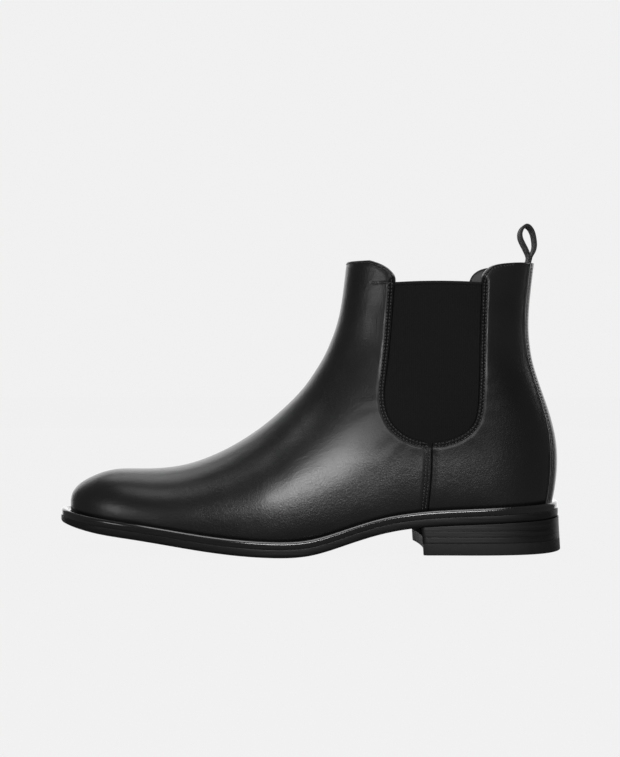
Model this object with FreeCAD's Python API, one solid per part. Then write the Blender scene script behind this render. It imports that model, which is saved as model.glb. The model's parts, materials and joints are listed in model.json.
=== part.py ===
"""Chelsea boot, left foot, men's EU 43: lasted upper, welted sole, stacked heel and heel pull loop.

Frame, in mm: the toe points to -X, the heel to +X, the outer side of the foot to -Y, and +Z is up.
The origin is on the ground under the middle of the boot.
"""
import FreeCAD, Part
import math
import os

# ---- overall sizes -------------------------------------------------------------------------------------
boot_length = 305.0          # toe of the welt to the back of the heel's top piece
collar_height = 174.2        # ground to the front of the collar
ball_width = 94.0            # upper, across the ball of the foot
heel_width = 71.0            # upper, across the heel
shaft_width = 67.0           # upper, across the collar
toe_swing = 4.0              # the toe leans this far towards the big toe
collar_tilt = 0.035          # the collar's inner side is higher than its outer side, per mm of width

# ---- sheets of the upper, from the outside in ----------------------------------------------------------
leather_thickness = 1.4
interlining_thickness = 1.0
lining_thickness = 1.0
strap_thickness = 1.2
glue_gap = 0.15              # between two glued sheets
seam_gap = 0.3               # between two edges that meet in one layer
lasting_margin = 13.0        # upper turned in under the insole
seam_overlap = 8.0           # quarter tucked under the vamp at the side seam
gore_margin = 7.0            # elastic sewn in behind the leather

# ---- sole and heel -------------------------------------------------------------------------------------
outsole_thickness = 5.0
welt_thickness = 4.4
welt_width = 5.0             # ledge outside the upper
heel_height = 27.0           # ground to the top of the welt at the heel's front
toe_spring = 15.0            # ground to the underside of the toe
top_piece_thickness = 7.0
seat_lift_front = 1.8        # the wedge-shaped seat lift, at the heel's breast
heel_length = 85.0           # heel back to the middle of the heel breast
breast_depth = 3.0           # hollow of the heel breast
breast_skew = 3.2            # the breast's inner end is further forward
heel_inset = 0.1             # the stack's top, inside the outsole's edge
heel_flare = 1.5             # the stack's foot, further out than its top
insole_thickness = 2.5
sock_thickness = 1.0
heel_pad_thickness = 2.0
part_gap = 0.2               # between stacked pieces that follow a curve
shank_length = 100.0
shank_width = 14.0
shank_thickness = 1.6
nail_radius = 1.1
nail_cover = 1.28            # nails end this far under the outsole's top
nail_clearance = 0.1

# ---- pull loop -----------------------------------------------------------------------------------------
tape_width = 12.0
tape_thickness = 2.0
loop_height = 21.3
loop_base_radius = 2.3
loop_clearance = 0.6
tail_length = 28.0

# ---- inner stiffeners and nails ------------------------------------------------------------------------
puff_length = 62.0           # toe puff, from the toe
pad_length = 82.0            # heel pad, from the heel
shank_lift = 1.0             # shank above the outsole
shank_setback = 18.8         # shank's rear end, in front of the lasting margin's edge
nail_count = 7
nail_pitch_angle = 30.0      # between nails round the heel
nail_ring = 21.0             # nails from the heel's middle
heel_centre = 112.0

# ---- grid of the last's surface ------------------------------------------------------------------------
ROWS_PER_STATION = 2
COLUMNS_PER_SIDE = 16
DEGREE = 3
FAR = 150.0                  # half-size of a cutting prism across the boot
DEEP = -60.0                 # well under the ground
MARGIN_TRIM = 8.0      # the lasting margin is trimmed up to here above the outsole
SOLE_PRISM_TOP = 80.0
# Sizes the pattern tables below were drawn for.
PATTERN_BOOT_LENGTH = 305.0
PATTERN_COLLAR = 174.2
PATTERN_HEEL = 27.0
PATTERN_SPRING = 15.0
PATTERN_OUTSOLE = 5.0
PATTERN_WELT = 5.0
PATTERN_BALL = 94.0
PATTERN_HEEL_WIDTH = 71.0
SHAFT_START = 60.0           # the shaft stretches above this height only

HALF = boot_length / 2.0
BEYOND = 1.5 * HALF          # past either end of the boot
PATTERN_HALF = PATTERN_BOOT_LENGTH / 2.0
LEDGE_CHANGE = welt_width - PATTERN_WELT
X_SCALE = (HALF - welt_width) / (PATTERN_HALF - PATTERN_WELT)
SOLE_X_SCALE = (HALF - LEDGE_CHANGE) / PATTERN_HALF
LAYER_LEATHER = leather_thickness
LAYER_INTER = LAYER_LEATHER + glue_gap
LAYER_INTER_IN = LAYER_INTER + interlining_thickness
LAYER_LINING = LAYER_INTER_IN + glue_gap
LAYER_LINING_IN = LAYER_LINING + lining_thickness
LAYER_INSOLE = LAYER_LINING_IN + part_gap
STRAP_OUT = glue_gap + strap_thickness
MARGIN_HOLE = welt_width + LAYER_LINING_IN + lasting_margin
INSOLE_BOTTOM = part_gap + LAYER_LINING_IN + part_gap
INSOLE_TOP = INSOLE_BOTTOM + insole_thickness
SOCK_TOP = INSOLE_TOP + glue_gap + sock_thickness

# Each station of the last is a section plane across the boot, from a point on the top and front line to a
# point on the bottom and back line: top x and z, bottom x and z, which width it follows, its share of that
# width on the outer and inner side, how far up its widest place is, and the fullness below and above it.
STATIONS = [
    (-146.4, 27.5, -146.4, 27.5, "ball", 0.00, 0.00, 0.45, 2.2, 2.2),
    (-145.9, 32.2, -145.9, 21.0, "ball", 0.13, 0.13, 0.45, 2.2, 2.2),
    (-143.6, 36.2, -143.6, 14.5, "ball", 0.26, 0.26, 0.46, 2.3, 2.2),
    (-139.2, 40.0, -139.2, 8.0, "ball", 0.39, 0.39, 0.47, 2.4, 2.2),
    (-131.5, 44.0, -131.5, 3.0, "ball", 0.53, 0.53, 0.47, 2.5, 2.2),
    (-119.0, 47.4, -119.0, -1.0, "ball", 0.67, 0.67, 0.46, 2.6, 2.2),
    (-101.0, 47.8, -101.0, -4.0, "ball", 0.79, 0.81, 0.45, 2.7, 2.15),
    (-79.0, 49.8, -79.0, -8.0, "ball", 0.89, 0.92, 0.44, 2.7, 2.1),
    (-56.0, 57.6, -52.0, -11.0, "ball", 0.96, 0.99, 0.42, 2.7, 2.05),
    (-34.0, 70.3, -22.0, -13.0, "ball", 1.00, 0.98, 0.40, 2.7, 2.0),
    (-15.5, 85.4, 10.0, -9.0, "ball", 0.95, 0.88, 0.40, 2.7, 2.0),
    (-1.2, 100.9, 44.0, -2.0, "ball", 0.86, 0.78, 0.42, 2.8, 2.0),
    (8.4, 116.5, 80.0, 4.0, "heel", 1.06, 0.99, 0.46, 3.0, 2.0),
    (14.2, 129.5, 114.0, 5.0, "heel", 1.03, 0.98, 0.48, 3.3, 2.0),
    (17.7, 141.0, 136.4, 11.0, "heel", 1.01, 0.98, 0.49, 3.2, 2.0),
    (19.6, 151.5, 146.7, 34.0, "heel", 1.00, 0.98, 0.50, 2.7, 2.0),
    (20.8, 160.5, 148.6, 62.0, "heel", 0.98, 0.97, 0.50, 2.35, 2.0),
    (21.7, 168.0, 142.4, 88.0, "heel", 0.96, 0.95, 0.50, 2.15, 2.0),
    (22.3, 174.5, 134.6, 112.0, "heel", 0.94, 0.94, 0.50, 2.1, 2.0),
    (22.9, 181.0, 131.9, 136.0, "shaft", 0.99, 0.99, 0.50, 2.1, 2.0),
    (23.5, 187.0, 133.7, 160.0, "shaft", 0.98, 0.98, 0.50, 2.1, 2.0),
    (24.0, 193.0, 136.6, 184.0, "shaft", 0.98, 0.98, 0.50, 2.1, 2.0),
    (24.4, 200.0, 139.5, 208.0, "shaft", 0.98, 0.98, 0.50, 2.1, 2.0),
]
# Top of the outsole along the boot, at its standard heel height and toe spring.
SOLE_LINE = [(-160.0, 21.4), (-130.0, 16.9), (-100.0, 13.7), (-62.0, 8.6), (-22.0, 5.1), (0.0, 6.0),
             (20.0, 11.3), (42.0, 17.4), (66.0, 20.9), (95.0, 22.6), (160.0, 25.2)]
BALL_X = -25.0
HEEL_RISE_X = 60.0           # a changed heel height is reached here
WAIST_FROM = 44.0            # the sole follows the ball's width up to here
WAIST_TO = 80.0              # and the heel's width from here
# Half-widths of the outsole along the boot, outer and inner side.
SOLE_OUTER = [(-152.5, 0.0), (-143.5, 20.0), (-118.0, 35.5), (-76.0, 46.0), (-32.0, 50.5), (14.0, 44.5),
              (62.0, 36.0), (112.0, 35.5), (139.8, 25.5), (150.9, 0.0)]
SOLE_INNER = [(-152.5, 0.0), (-143.5, 20.0), (-118.0, 36.0), (-76.0, 48.0), (-32.0, 49.0), (14.0, 38.0),
              (62.0, 31.5), (112.0, 34.0), (139.8, 25.0), (150.9, 0.0)]
# Side outlines, in the plane of the boot's middle.
COLLAR_FRONT = [(35.0, 174.2), (41.5, 171.6), (46.6, 168.0), (49.2, 164.2), (49.5, 160.7)]
GORE_FRONT = [(49.5, 160.7), (47.3, 130.0), (44.7, 106.4), (43.6, 94.0), (46.5, 81.0), (55.5, 71.6),
              (71.0, 67.4)]
GORE_REAR = [(71.0, 67.4), (84.5, 69.8), (95.0, 77.5), (98.4, 92.0), (99.4, 112.0), (100.6, 144.0),
             (101.3, 160.7)]
COLLAR_REAR = [(101.3, 160.7), (102.6, 165.4), (107.0, 169.8), (114.0, 171.8), (134.0, 173.2)]
SIDE_SEAM = [(71.0, 67.4), (70.9, 52.0), (69.8, 36.0), (68.0, 16.0)]
STRAP_HALF_WIDTHS = [(184.0, 10.5), (150.0, 11.0), (122.0, 12.0), (98.0, 14.0), (76.0, 17.0), (50.0, 19.0),
                     (18.0, 20.0)]

GORE_CROWN = 0.8
BACK_CROWN = 0.6             # the collar still rises a little towards the back
STEP_WIDTH = 3.0             # where the quarter steps down to the edge under the vamp
PUFF_SLANT = 6.0
COUNTER_TOP = [(79.0, 42.0), (86.0, 53.0), (104.0, 63.0), (130.0, 78.0), (165.0, 96.0)]
LINING_SEAM_SHIFT = -10.0
PAD_INSET = 6.0
NAIL_START = 1.0             # nails begin this far above the top piece
LOOP_SET_BACK = 0.4
LOOP_PATTERN_HEIGHT = 21.3
LOOP_OUTLINE = [(2.3, 0.0), (3.5, 3.0), (3.9, 7.0), (3.4, 12.0), (1.6, 18.0), (-2.4, 21.3), (-6.4, 18.0),
                (-7.2, 13.5), (-4.6, 8.0), (-2.9, 4.0), (-2.3, 0.0)]


def cubic(values, flat_start=False):
    """A natural cubic spline through values at 0, 1, 2 and so on; it can start level."""
    count = len(values)
    diagonal = [1.0] + [4.0] * (count - 2) + [1.0]
    upper = [0.0] + [1.0] * (count - 2) + [0.0]
    right = [0.0] * count
    for i in range(1, count - 1):
        right[i] = 6.0 * (values[i + 1] - 2.0 * values[i] + values[i - 1])
    if flat_start:
        diagonal[0] = 2.0
        upper[0] = 1.0
        right[0] = 6.0 * (values[1] - values[0])
    for i in range(1, count):
        below = 1.0 if i < count - 1 else 0.0
        share = below / diagonal[i - 1]
        diagonal[i] -= share * upper[i - 1]
        right[i] -= share * right[i - 1]
    bend = [0.0] * count
    bend[-1] = right[-1] / diagonal[-1]
    for i in range(count - 2, -1, -1):
        bend[i] = (right[i] - upper[i] * bend[i + 1]) / diagonal[i]

    def value(s):
        i = min(max(int(math.floor(s)), 0), count - 2)
        t = s - i
        r = 1.0 - t
        curve = (r ** 3 - r) * bend[i] + (t ** 3 - t) * bend[i + 1]
        return r * values[i] + t * values[i + 1] + curve / 6.0
    return value


def along(pairs, x):
    """Straight interpolation in a list of (x, value) pairs."""
    if x <= pairs[0][0]:
        return pairs[0][1]
    for (x0, v0), (x1, v1) in zip(pairs, pairs[1:]):
        if x <= x1:
            return v0 + (v1 - v0) * (x - x0) / (x1 - x0)
    return pairs[-1][1]


def rise(x):
    """How much a changed heel height or toe spring lifts the boot at x."""
    back = min(max((x - BALL_X) / (HEEL_RISE_X - BALL_X), 0.0), 1.0)
    front = min(max((BALL_X - x) / (BALL_X + PATTERN_HALF), 0.0), 1.0)
    back = back * back * (3.0 - 2.0 * back)
    sole_lift = outsole_thickness - PATTERN_OUTSOLE
    heel_change = heel_height - PATTERN_HEEL - sole_lift
    toe_change = toe_spring - PATTERN_SPRING
    return heel_change * back + toe_change * front ** 2 + sole_lift


def place(x, z):
    """A pattern point in its real place."""
    shaft = max(z - SHAFT_START, 0.0) / (PATTERN_COLLAR - SHAFT_START)
    lifted = z + rise(x)
    collar_lift = collar_height - PATTERN_COLLAR - rise(x)
    return x * X_SCALE, lifted + shaft * collar_lift


def swing(x):
    """Sideways lean of the toe at a real x."""
    share = max(-x / HALF, 0.0)
    return toe_swing * share * share


# ---- the last and its offsets --------------------------------------------------------------------------
def station_curves():
    widths = {"ball": ball_width / 2.0, "heel": heel_width / 2.0, "shaft": shaft_width / 2.0}
    columns = [[] for _ in range(9)]
    for tx, tz, bx, bz, girth, outer, inner, widest, low, high in STATIONS:
        top = place(tx, tz)
        bottom = place(bx, bz)
        row = top + bottom + (outer * widths[girth], inner * widths[girth], widest, low, high)
        for column, item in zip(columns, row):
            column.append(item)
    return [cubic(column, flat_start=index in (0, 2)) for index, column in enumerate(columns)]


CURVES = station_curves()


def last_point(s, angle):
    """Point of the last; angle runs from the bottom line over the inner side, the top, the outer side."""
    tx, tz, bx, bz, outer, inner, widest, low, high = [curve(s) for curve in CURVES]
    turn = angle % (2.0 * math.pi)
    side = 1.0
    width = inner
    if turn > math.pi:
        turn = 2.0 * math.pi - turn
        side = -1.0
        width = outer
    cosine = math.cos(turn)
    fullness = low if cosine > 0.0 else high
    reach = widest if cosine > 0.0 else widest - 1.0
    up = widest - reach * abs(cosine) ** (2.0 / fullness)
    across = side * max(width, 0.0) * max(math.sin(turn), 0.0) ** (2.0 / fullness)
    x = bx + (tx - bx) * up
    return FreeCAD.Vector(x, across + swing(x), bz + (tz - bz) * up)


def last_normal(s, angle):
    step = 0.02
    last = len(STATIONS) - 1.0
    along_boot = last_point(min(s + step, last), angle) - last_point(max(s - step, 0.0), angle)
    around = last_point(s, angle + step) - last_point(s, angle - step)
    normal = around.cross(along_boot)
    return normal.normalize()


def offset_grid(depth):
    """Poles of the last's surface moved inwards by depth, row by row from the toe."""
    columns = 2 * COLUMNS_PER_SIDE
    toe = last_point(0.0, 0.0) + FreeCAD.Vector(depth, 0, 0)
    grid = [[toe] * columns]
    for row in range(1, (len(STATIONS) - 1) * ROWS_PER_STATION + 1):
        s = row / ROWS_PER_STATION
        angles = [2.0 * math.pi * column / columns for column in range(columns)]
        grid.append([last_point(s, angle) - last_normal(s, angle) * depth for angle in angles])
    return grid


def flatten_last_row(grid):
    """The top row lies in one plane, so that the solid can be closed there."""
    row = grid[-1]
    low = row[0]
    high = row[COLUMNS_PER_SIDE]
    direction = high - low
    for index, point in enumerate(row):
        share = (point.x - low.x) / direction.x
        row[index] = FreeCAD.Vector(point.x, point.y, low.z + share * direction.z)
    return grid


def grid_solid(grid):
    rows = len(grid)
    columns = len(grid[0])
    surface = Part.BSplineSurface()
    row_knots = list(range(rows - DEGREE + 1))
    row_mults = [DEGREE + 1] + [1] * (rows - DEGREE - 1) + [DEGREE + 1]
    around_knots = list(range(columns + 1))
    around_mults = [1] * (columns + 1)
    surface.buildFromPolesMultsKnots(grid, row_mults, around_mults, row_knots, around_knots,
                                     False, True, DEGREE, DEGREE)
    skin = surface.toShape()
    rim = [edge for edge in skin.Edges if not edge.Degenerated and edge.isClosed()
           and edge.CenterOfMass.z > collar_height]
    lid = Part.Face(Part.Wire(rim[:1]))
    shell = Part.makeShell([skin, lid])
    shell.sewShape()
    solid = Part.makeSolid(Part.Shell(shell.Faces))
    if solid.Volume < 0:
        solid.reverse()
    return solid


LAST_CACHE = {}


def last_solid(depth):
    """The whole closed form of the last, depth mm inside its outer surface."""
    key = round(depth, 3)
    if key not in LAST_CACHE:
        LAST_CACHE[key] = grid_solid(flatten_last_row(offset_grid(depth)))
    return LAST_CACHE[key]


# ---- prisms --------------------------------------------------------------------------------------------
def spline_edge(points):
    if len(points) == 2:
        return Part.makeLine(points[0], points[1])
    curve = Part.BSplineCurve()
    curve.interpolate(points)
    return curve.toShape()


def side_prism(runs, y_from=-FAR, y_to=FAR, tilt=collar_tilt):
    """A side outline, made of runs of points that follow one another, extruded across the boot."""
    edges = []
    for run in runs:
        points = [FreeCAD.Vector(x, y_from, z + tilt * y_from) for x, z in run]
        edges.append(spline_edge(points))
    face = Part.Face(Part.Wire(edges))
    return face.extrude(FreeCAD.Vector(0, y_to - y_from, tilt * (y_to - y_from)))


def closed(runs):
    """Join the runs with straight lines into a closed outline."""
    result = []
    for index, run in enumerate(runs):
        result.append(run)
        following = runs[(index + 1) % len(runs)]
        if math.dist(run[-1], following[0]) > 1e-6:
            result.append([run[-1], following[0]])
    return result


def placed(points):
    return [place(x, z) for x, z in points]


def grown(points, distance):
    """Points moved sideways to the left of their direction of travel."""
    result = []
    for index, (x, z) in enumerate(points):
        x0, z0 = points[max(index - 1, 0)]
        x1, z1 = points[min(index + 1, len(points) - 1)]
        length = math.dist((x0, z0), (x1, z1))
        result.append((x - (z1 - z0) / length * distance, z + (x1 - x0) / length * distance))
    return result


def sole_line(lift):
    """The outsole's top line, moved along its normal."""
    points = [(x * X_SCALE, z + rise(x)) for x, z in SOLE_LINE]
    return grown(points, lift)


def below_line(lift):
    """Everything under the sole line moved by lift."""
    line = sole_line(lift)
    first = line[0]
    last = line[-1]
    corners = [(last[0], last[1]), (last[0], DEEP), (first[0], DEEP), (first[0], first[1])]
    return side_prism(closed([line, corners[0:2], corners[2:4]]), tilt=0.0)


def sole_height(x):
    return along([(px * X_SCALE, z + rise(px)) for px, z in SOLE_LINE], x)


def sole_point(x, half, side):
    """A plan point of the sole's edge; inside the welt's ledge it follows the upper's width."""
    ledge = min(half, PATTERN_WELT)
    back = min(max((x - WAIST_FROM) / (WAIST_TO - WAIST_FROM), 0.0), 1.0)
    ratio = (1.0 - back) * ball_width / PATTERN_BALL + back * heel_width / PATTERN_HEEL_WIDTH
    real_x = x * SOLE_X_SCALE
    return real_x, side * (ledge + (half - ledge) * ratio) + swing(real_x)


def sole_outline(inset):
    """Plan points of the outsole's edge, moved inwards by inset."""
    outer = [sole_point(x, half, -1.0) for x, half in SOLE_OUTER]
    inner = [sole_point(x, half, 1.0) for x, half in SOLE_INNER]
    ring = outer + inner[-2:0:-1]
    shift = inset - LEDGE_CHANGE
    moved = []
    count = len(ring)
    for index, (x, y) in enumerate(ring):
        x0, y0 = ring[index - 1]
        x1, y1 = ring[(index + 1) % count]
        length = math.dist((x0, y0), (x1, y1))
        moved.append((x - (y1 - y0) / length * shift, y + (x1 - x0) / length * shift))
    return moved


def sole_prism(inset, z_from=DEEP, z_to=SOLE_PRISM_TOP):
    points = [FreeCAD.Vector(x, y, z_from) for x, y in sole_outline(inset)]
    curve = Part.BSplineCurve()
    curve.interpolate(points, PeriodicFlag=True)
    face = Part.Face(Part.Wire([curve.toShape()]))
    return face.extrude(FreeCAD.Vector(0, 0, z_to - z_from))


# ---- layers of the upper -------------------------------------------------------------------------------
def lasted(depth):
    """The last's form above the sole, its floor raised as much as its walls are moved in."""
    return last_solid(depth).cut(below_line(part_gap + depth))


def layer(outside, inside):
    """A sheet round the last, turned in under the foot by the lasting margin."""
    sheet = lasted(outside).cut(lasted(inside))
    return sheet.cut(sole_prism(MARGIN_HOLE, DEEP, sole_height(HALF) + MARGIN_TRIM))


def vamp_outline(shift=0.0):
    seam = [(x + shift, z) for x, z in SIDE_SEAM]
    front = placed(COLLAR_FRONT)
    gore = placed(GORE_FRONT[:-1] + [seam[0]])
    low = placed(seam)
    corners = [(low[-1][0], DEEP), (-BEYOND, DEEP), (-BEYOND, front[0][1])]
    return closed([front, gore, low, corners[0:2], corners[1:3]])


def quarter_outline(shift=0.0):
    seam = placed([(x + shift, z) for x, z in SIDE_SEAM])
    gore = placed([(SIDE_SEAM[0][0] + shift, SIDE_SEAM[0][1])] + GORE_REAR[1:])
    rear = placed(COLLAR_REAR)
    high = rear[-1][1] + BACK_CROWN
    corners = [(BEYOND, high), (BEYOND, DEEP), (seam[-1][0], DEEP)]
    return closed([gore, rear, corners[0:2], corners[1:3], [corners[2], seam[-1]], seam[::-1]])


def gore_path(distance):
    """The opening's U, moved outwards by distance, with a slightly crowned top."""
    path = grown(placed(GORE_FRONT + GORE_REAR[1:]), -distance)
    crown = (path[0][0] / 2.0 + path[-1][0] / 2.0, path[0][1] + GORE_CROWN)
    return [path, [path[-1], crown, path[0]]]


def boot_box(x_from, x_to, half_width, z_from, z_to):
    corner = FreeCAD.Vector(x_from, -half_width, z_from)
    return Part.makeBox(x_to - x_from, 2.0 * half_width, z_to - z_from, corner)


def slab(bottom, top):
    """Between two lines parallel to the sole line."""
    return below_line(top).cut(below_line(bottom))


# ---- upper ---------------------------------------------------------------------------------------------
def vamp(leather):
    return leather.common(side_prism(vamp_outline()))


def seam_band(front, back):
    """A band along the side seam, from front to back of it."""
    first = placed([(x + front, z) for x, z in SIDE_SEAM])
    second = placed([(x + back, z) for x, z in SIDE_SEAM])
    low = [[first[-1], (first[-1][0], DEEP)], [(first[-1][0], DEEP), (second[-1][0], DEEP)]]
    return closed([first] + low + [second[::-1]])


def quarter(leather, inter, side):
    """One quarter, with the edge that is tucked under the vamp."""
    y_from = seam_gap / 2.0 if side > 0 else -FAR
    y_to = FAR if side > 0 else -seam_gap / 2.0
    panel = leather.common(side_prism(quarter_outline(seam_gap), y_from, y_to))
    step = layer(LAYER_LEATHER - glue_gap, LAYER_INTER_IN)
    tuck = inter.common(side_prism(seam_band(-seam_overlap, seam_gap + STEP_WIDTH), y_from, y_to))
    joint = step.common(side_prism(seam_band(seam_gap, seam_gap + STEP_WIDTH), y_from, y_to))
    gore = side_prism(gore_path(gore_margin + seam_gap))
    return panel.fuse([tuck.cut(gore), joint.cut(gore)])


def gore(inter, side):
    y_from = 0.0 if side > 0 else -FAR
    y_to = FAR if side > 0 else 0.0
    return inter.common(side_prism(gore_path(gore_margin), y_from, y_to))


def puff_prism(shift):
    x = -HALF + puff_length + shift
    top = collar_height / 2.0
    corners = [(-2.0 * HALF, top), (x + PUFF_SLANT, top), (x, DEEP), (-2.0 * HALF, DEEP)]
    return side_prism([[corners[i - 1], corners[i]] for i in range(4)])


def counter_prism(gap):
    """The stiffener round the heel, highest at the back."""
    top = grown(placed(COUNTER_TOP), gap)
    front = top[0][0] - gap
    corners = [(top[-1][0], DEEP), (front, DEEP)]
    return side_prism(closed([top, corners, [(front, DEEP), top[0]]]))


def tail_box(gap):
    back = placed(COLLAR_REAR)[-1]
    return boot_box(heel_centre * X_SCALE, BEYOND, tape_width / 2.0 + gap,
                    back[1] - tail_length - gap, back[1] + FAR)


def vamp_interlining(inter):
    sheet = inter.common(side_prism(vamp_outline(-seam_overlap - seam_gap)))
    return sheet.cut([puff_prism(seam_gap), side_prism(gore_path(gore_margin + seam_gap))])


def quarter_interlining(inter):
    sheet = inter.common(side_prism(quarter_outline(seam_gap)))
    front = COUNTER_TOP[1][0] * X_SCALE
    behind = boot_box(front, BEYOND, FAR, DEEP, collar_height + FAR)
    sheet = sheet.common(behind)
    gore_hole = side_prism(gore_path(gore_margin + seam_gap))
    return sheet.cut([counter_prism(seam_gap), gore_hole, tail_box(seam_gap)])


def loop_tail(inter):
    return inter.common(side_prism(quarter_outline(seam_gap))).common(tail_box(0.0))


def back_strap():
    """The strap over the back seam, wider towards the heel."""
    band = last_solid(-STRAP_OUT).cut(last_solid(-glue_gap))
    sides = []
    for sign in (-1.0, 1.0):
        sides.append([FreeCAD.Vector(heel_centre * X_SCALE, sign * half, place(0.0, z)[1])
                      for z, half in STRAP_HALF_WIDTHS])
    edges = [spline_edge(sides[0]), Part.makeLine(sides[0][-1], sides[1][-1]),
             spline_edge(sides[1][::-1]), Part.makeLine(sides[1][0], sides[0][0])]
    outline = Part.Face(Part.Wire(edges)).extrude(FreeCAD.Vector(FAR, 0, 0))
    strap = band.common(outline).common(side_prism(quarter_outline(seam_gap)))
    return strap.cut(below_line(welt_thickness + part_gap))


# ---- bottom --------------------------------------------------------------------------------------------
def shank(gap):
    strip = slab(part_gap + shank_lift - gap, part_gap + shank_lift + shank_thickness + gap)
    rear = HALF - MARGIN_HOLE - shank_setback
    return strip.common(boot_box(rear - shank_length - gap, rear + gap, shank_width / 2.0 + gap,
                                 DEEP, collar_height))


def bottom_filler():
    filler = slab(part_gap, part_gap + LAYER_LINING_IN).common(sole_prism(MARGIN_HOLE + seam_gap))
    return filler.cut(shank(part_gap))


def insole_board():
    return last_solid(LAYER_INSOLE).common(slab(INSOLE_BOTTOM, INSOLE_TOP))


def sock_lining():
    return last_solid(LAYER_INSOLE).common(slab(INSOLE_TOP + glue_gap, SOCK_TOP))


def heel_pad():
    pad = slab(SOCK_TOP + glue_gap, SOCK_TOP + glue_gap + heel_pad_thickness)
    edge = sole_prism(welt_width + LAYER_INSOLE + PAD_INSET)
    front = HALF - pad_length
    return pad.common(edge).common(boot_box(front, 2.0 * HALF, FAR, DEEP, collar_height))


def welt():
    ledge = sole_prism(0.0).common(slab(glue_gap, welt_thickness))
    return ledge.cut(last_solid(-part_gap))


def nail_shapes(gap):
    """A ring of nails from the top piece into the outsole."""
    nails = []
    start = top_piece_thickness + NAIL_START
    nail_length = sole_height(heel_centre * X_SCALE) - nail_cover - start
    for index in range(nail_count):
        angle = math.radians((index - (nail_count - 1) / 2.0) * nail_pitch_angle)
        x = heel_centre * X_SCALE + nail_ring * math.cos(angle)
        foot = FreeCAD.Vector(x, nail_ring * math.sin(angle), start - gap)
        nails.append(Part.makeCylinder(nail_radius + gap, nail_length + 2.0 * gap, foot))
    return nails


def outsole():
    plate = sole_prism(0.0).common(slab(-outsole_thickness, 0.0))
    return plate.cut(nail_shapes(nail_clearance))


def breast_cut():
    """The hollow front of the heel: a cylinder across it."""
    front = HALF - heel_length
    half_width = heel_width / 2.0
    radius = (half_width ** 2 + breast_depth ** 2) / (2.0 * breast_depth)
    centre = FreeCAD.Vector(front + breast_depth - radius, 0, DEEP)
    block = boot_box(-2.0 * HALF, front, FAR, DEEP, collar_height)
    cutter = block.fuse(Part.makeCylinder(radius, collar_height, centre))
    turn = math.degrees(math.atan(breast_skew / heel_width))
    cutter.rotate(FreeCAD.Vector(front, 0, 0), FreeCAD.Vector(0, 0, 1), turn)
    return cutter


def lift_levels():
    """Undersides of the two lifts and of the wedge-shaped seat lift above them."""
    breast_top = sole_height(HALF - heel_length) - outsole_thickness - glue_gap
    lift_thickness = (breast_top - seat_lift_front - top_piece_thickness) / 2.0
    return [top_piece_thickness + index * lift_thickness for index in range(3)]


def heel_layer(z_from, z_to):
    middle = (z_from + min(z_to, heel_height - welt_thickness)) / 2.0
    inset = heel_inset - heel_flare * (1.0 - middle / heel_height)
    plate = sole_prism(inset, z_from, z_to).cut(breast_cut())
    plate = plate.common(below_line(-outsole_thickness - glue_gap))
    return plate.cut(nail_shapes(nail_clearance))


# ---- pull loop -----------------------------------------------------------------------------------------
def loop_centre():
    x, z = placed(COLLAR_REAR)[-1]
    return x + LOOP_SET_BACK, z + loop_clearance + loop_base_radius


def pull_loop():
    """A tape bent into a teardrop that leans over the collar, on a round base."""
    x, z = loop_centre()
    grow = loop_height / LOOP_PATTERN_HEIGHT
    points = [(x + px * grow, z + pz * grow) for px, pz in LOOP_OUTLINE]
    half = tape_width / 2.0
    outer = side_prism(closed([points]), -half, half, 0.0)
    hole_points = grown(points, tape_thickness)[1:-1]
    curve = Part.BSplineCurve()
    curve.interpolate([FreeCAD.Vector(px, -FAR, pz) for px, pz in hole_points], PeriodicFlag=True)
    hole = Part.Face(Part.Wire([curve.toShape()])).extrude(FreeCAD.Vector(0, 2.0 * FAR, 0))
    end = FreeCAD.Vector(x, -half, z)
    base = Part.makeCylinder(loop_base_radius, tape_width, end, FreeCAD.Vector(0, 1, 0))
    return outer.cut(hole).fuse(base)


def write(name, shape):
    solids = shape.Solids
    body = solids[0] if len(solids) == 1 else Part.makeCompound(solids)
    body.exportStep("parts/" + name + ".step")
    print("%-22s solids %d volume %.0f" % (name, len(solids), body.Volume), flush=True)


def main():
    os.makedirs("parts", exist_ok=True)
    leather = layer(0.0, LAYER_LEATHER)
    inter = layer(LAYER_INTER, LAYER_INTER_IN)
    inside = layer(LAYER_LINING, LAYER_LINING_IN)
    write("vamp", vamp(leather))
    for name, side in (("lateral", -1), ("medial", 1)):
        write("quarter_" + name, quarter(leather, inter, side))
        write("gore_" + name, gore(inter, side))
    write("back_strap", back_strap())
    write("toe_puff", inter.common(puff_prism(0.0)))
    write("vamp_interlining", vamp_interlining(inter))
    write("heel_counter", inter.common(counter_prism(0.0)))
    write("quarter_interlining", quarter_interlining(inter))
    write("pull_loop_tail", loop_tail(inter))
    write("vamp_lining", inside.common(side_prism(vamp_outline(LINING_SEAM_SHIFT))))
    rear = side_prism(quarter_outline(LINING_SEAM_SHIFT + seam_gap))
    write("quarter_lining", inside.common(rear))
    write("pull_loop", pull_loop())
    write("insole_board", insole_board())
    write("sock_lining", sock_lining())
    write("heel_pad", heel_pad())
    write("bottom_filler", bottom_filler())
    write("shank", shank(0.0))
    write("welt", welt())
    write("outsole", outsole())
    lower, middle, seat = lift_levels()
    write("heel_top_piece", heel_layer(0.0, lower - glue_gap))
    write("heel_lift_lower", heel_layer(lower, middle - glue_gap))
    write("heel_lift_middle", heel_layer(middle, seat - glue_gap))
    write("heel_lift_seat", heel_layer(seat, collar_height))
    write("heel_nails", Part.makeCompound(nail_shapes(0.0)))


main()
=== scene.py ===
import json
import math
import bpy
import numpy as np
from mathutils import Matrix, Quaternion, Vector
from mathutils.bvhtree import BVHTree


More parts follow.
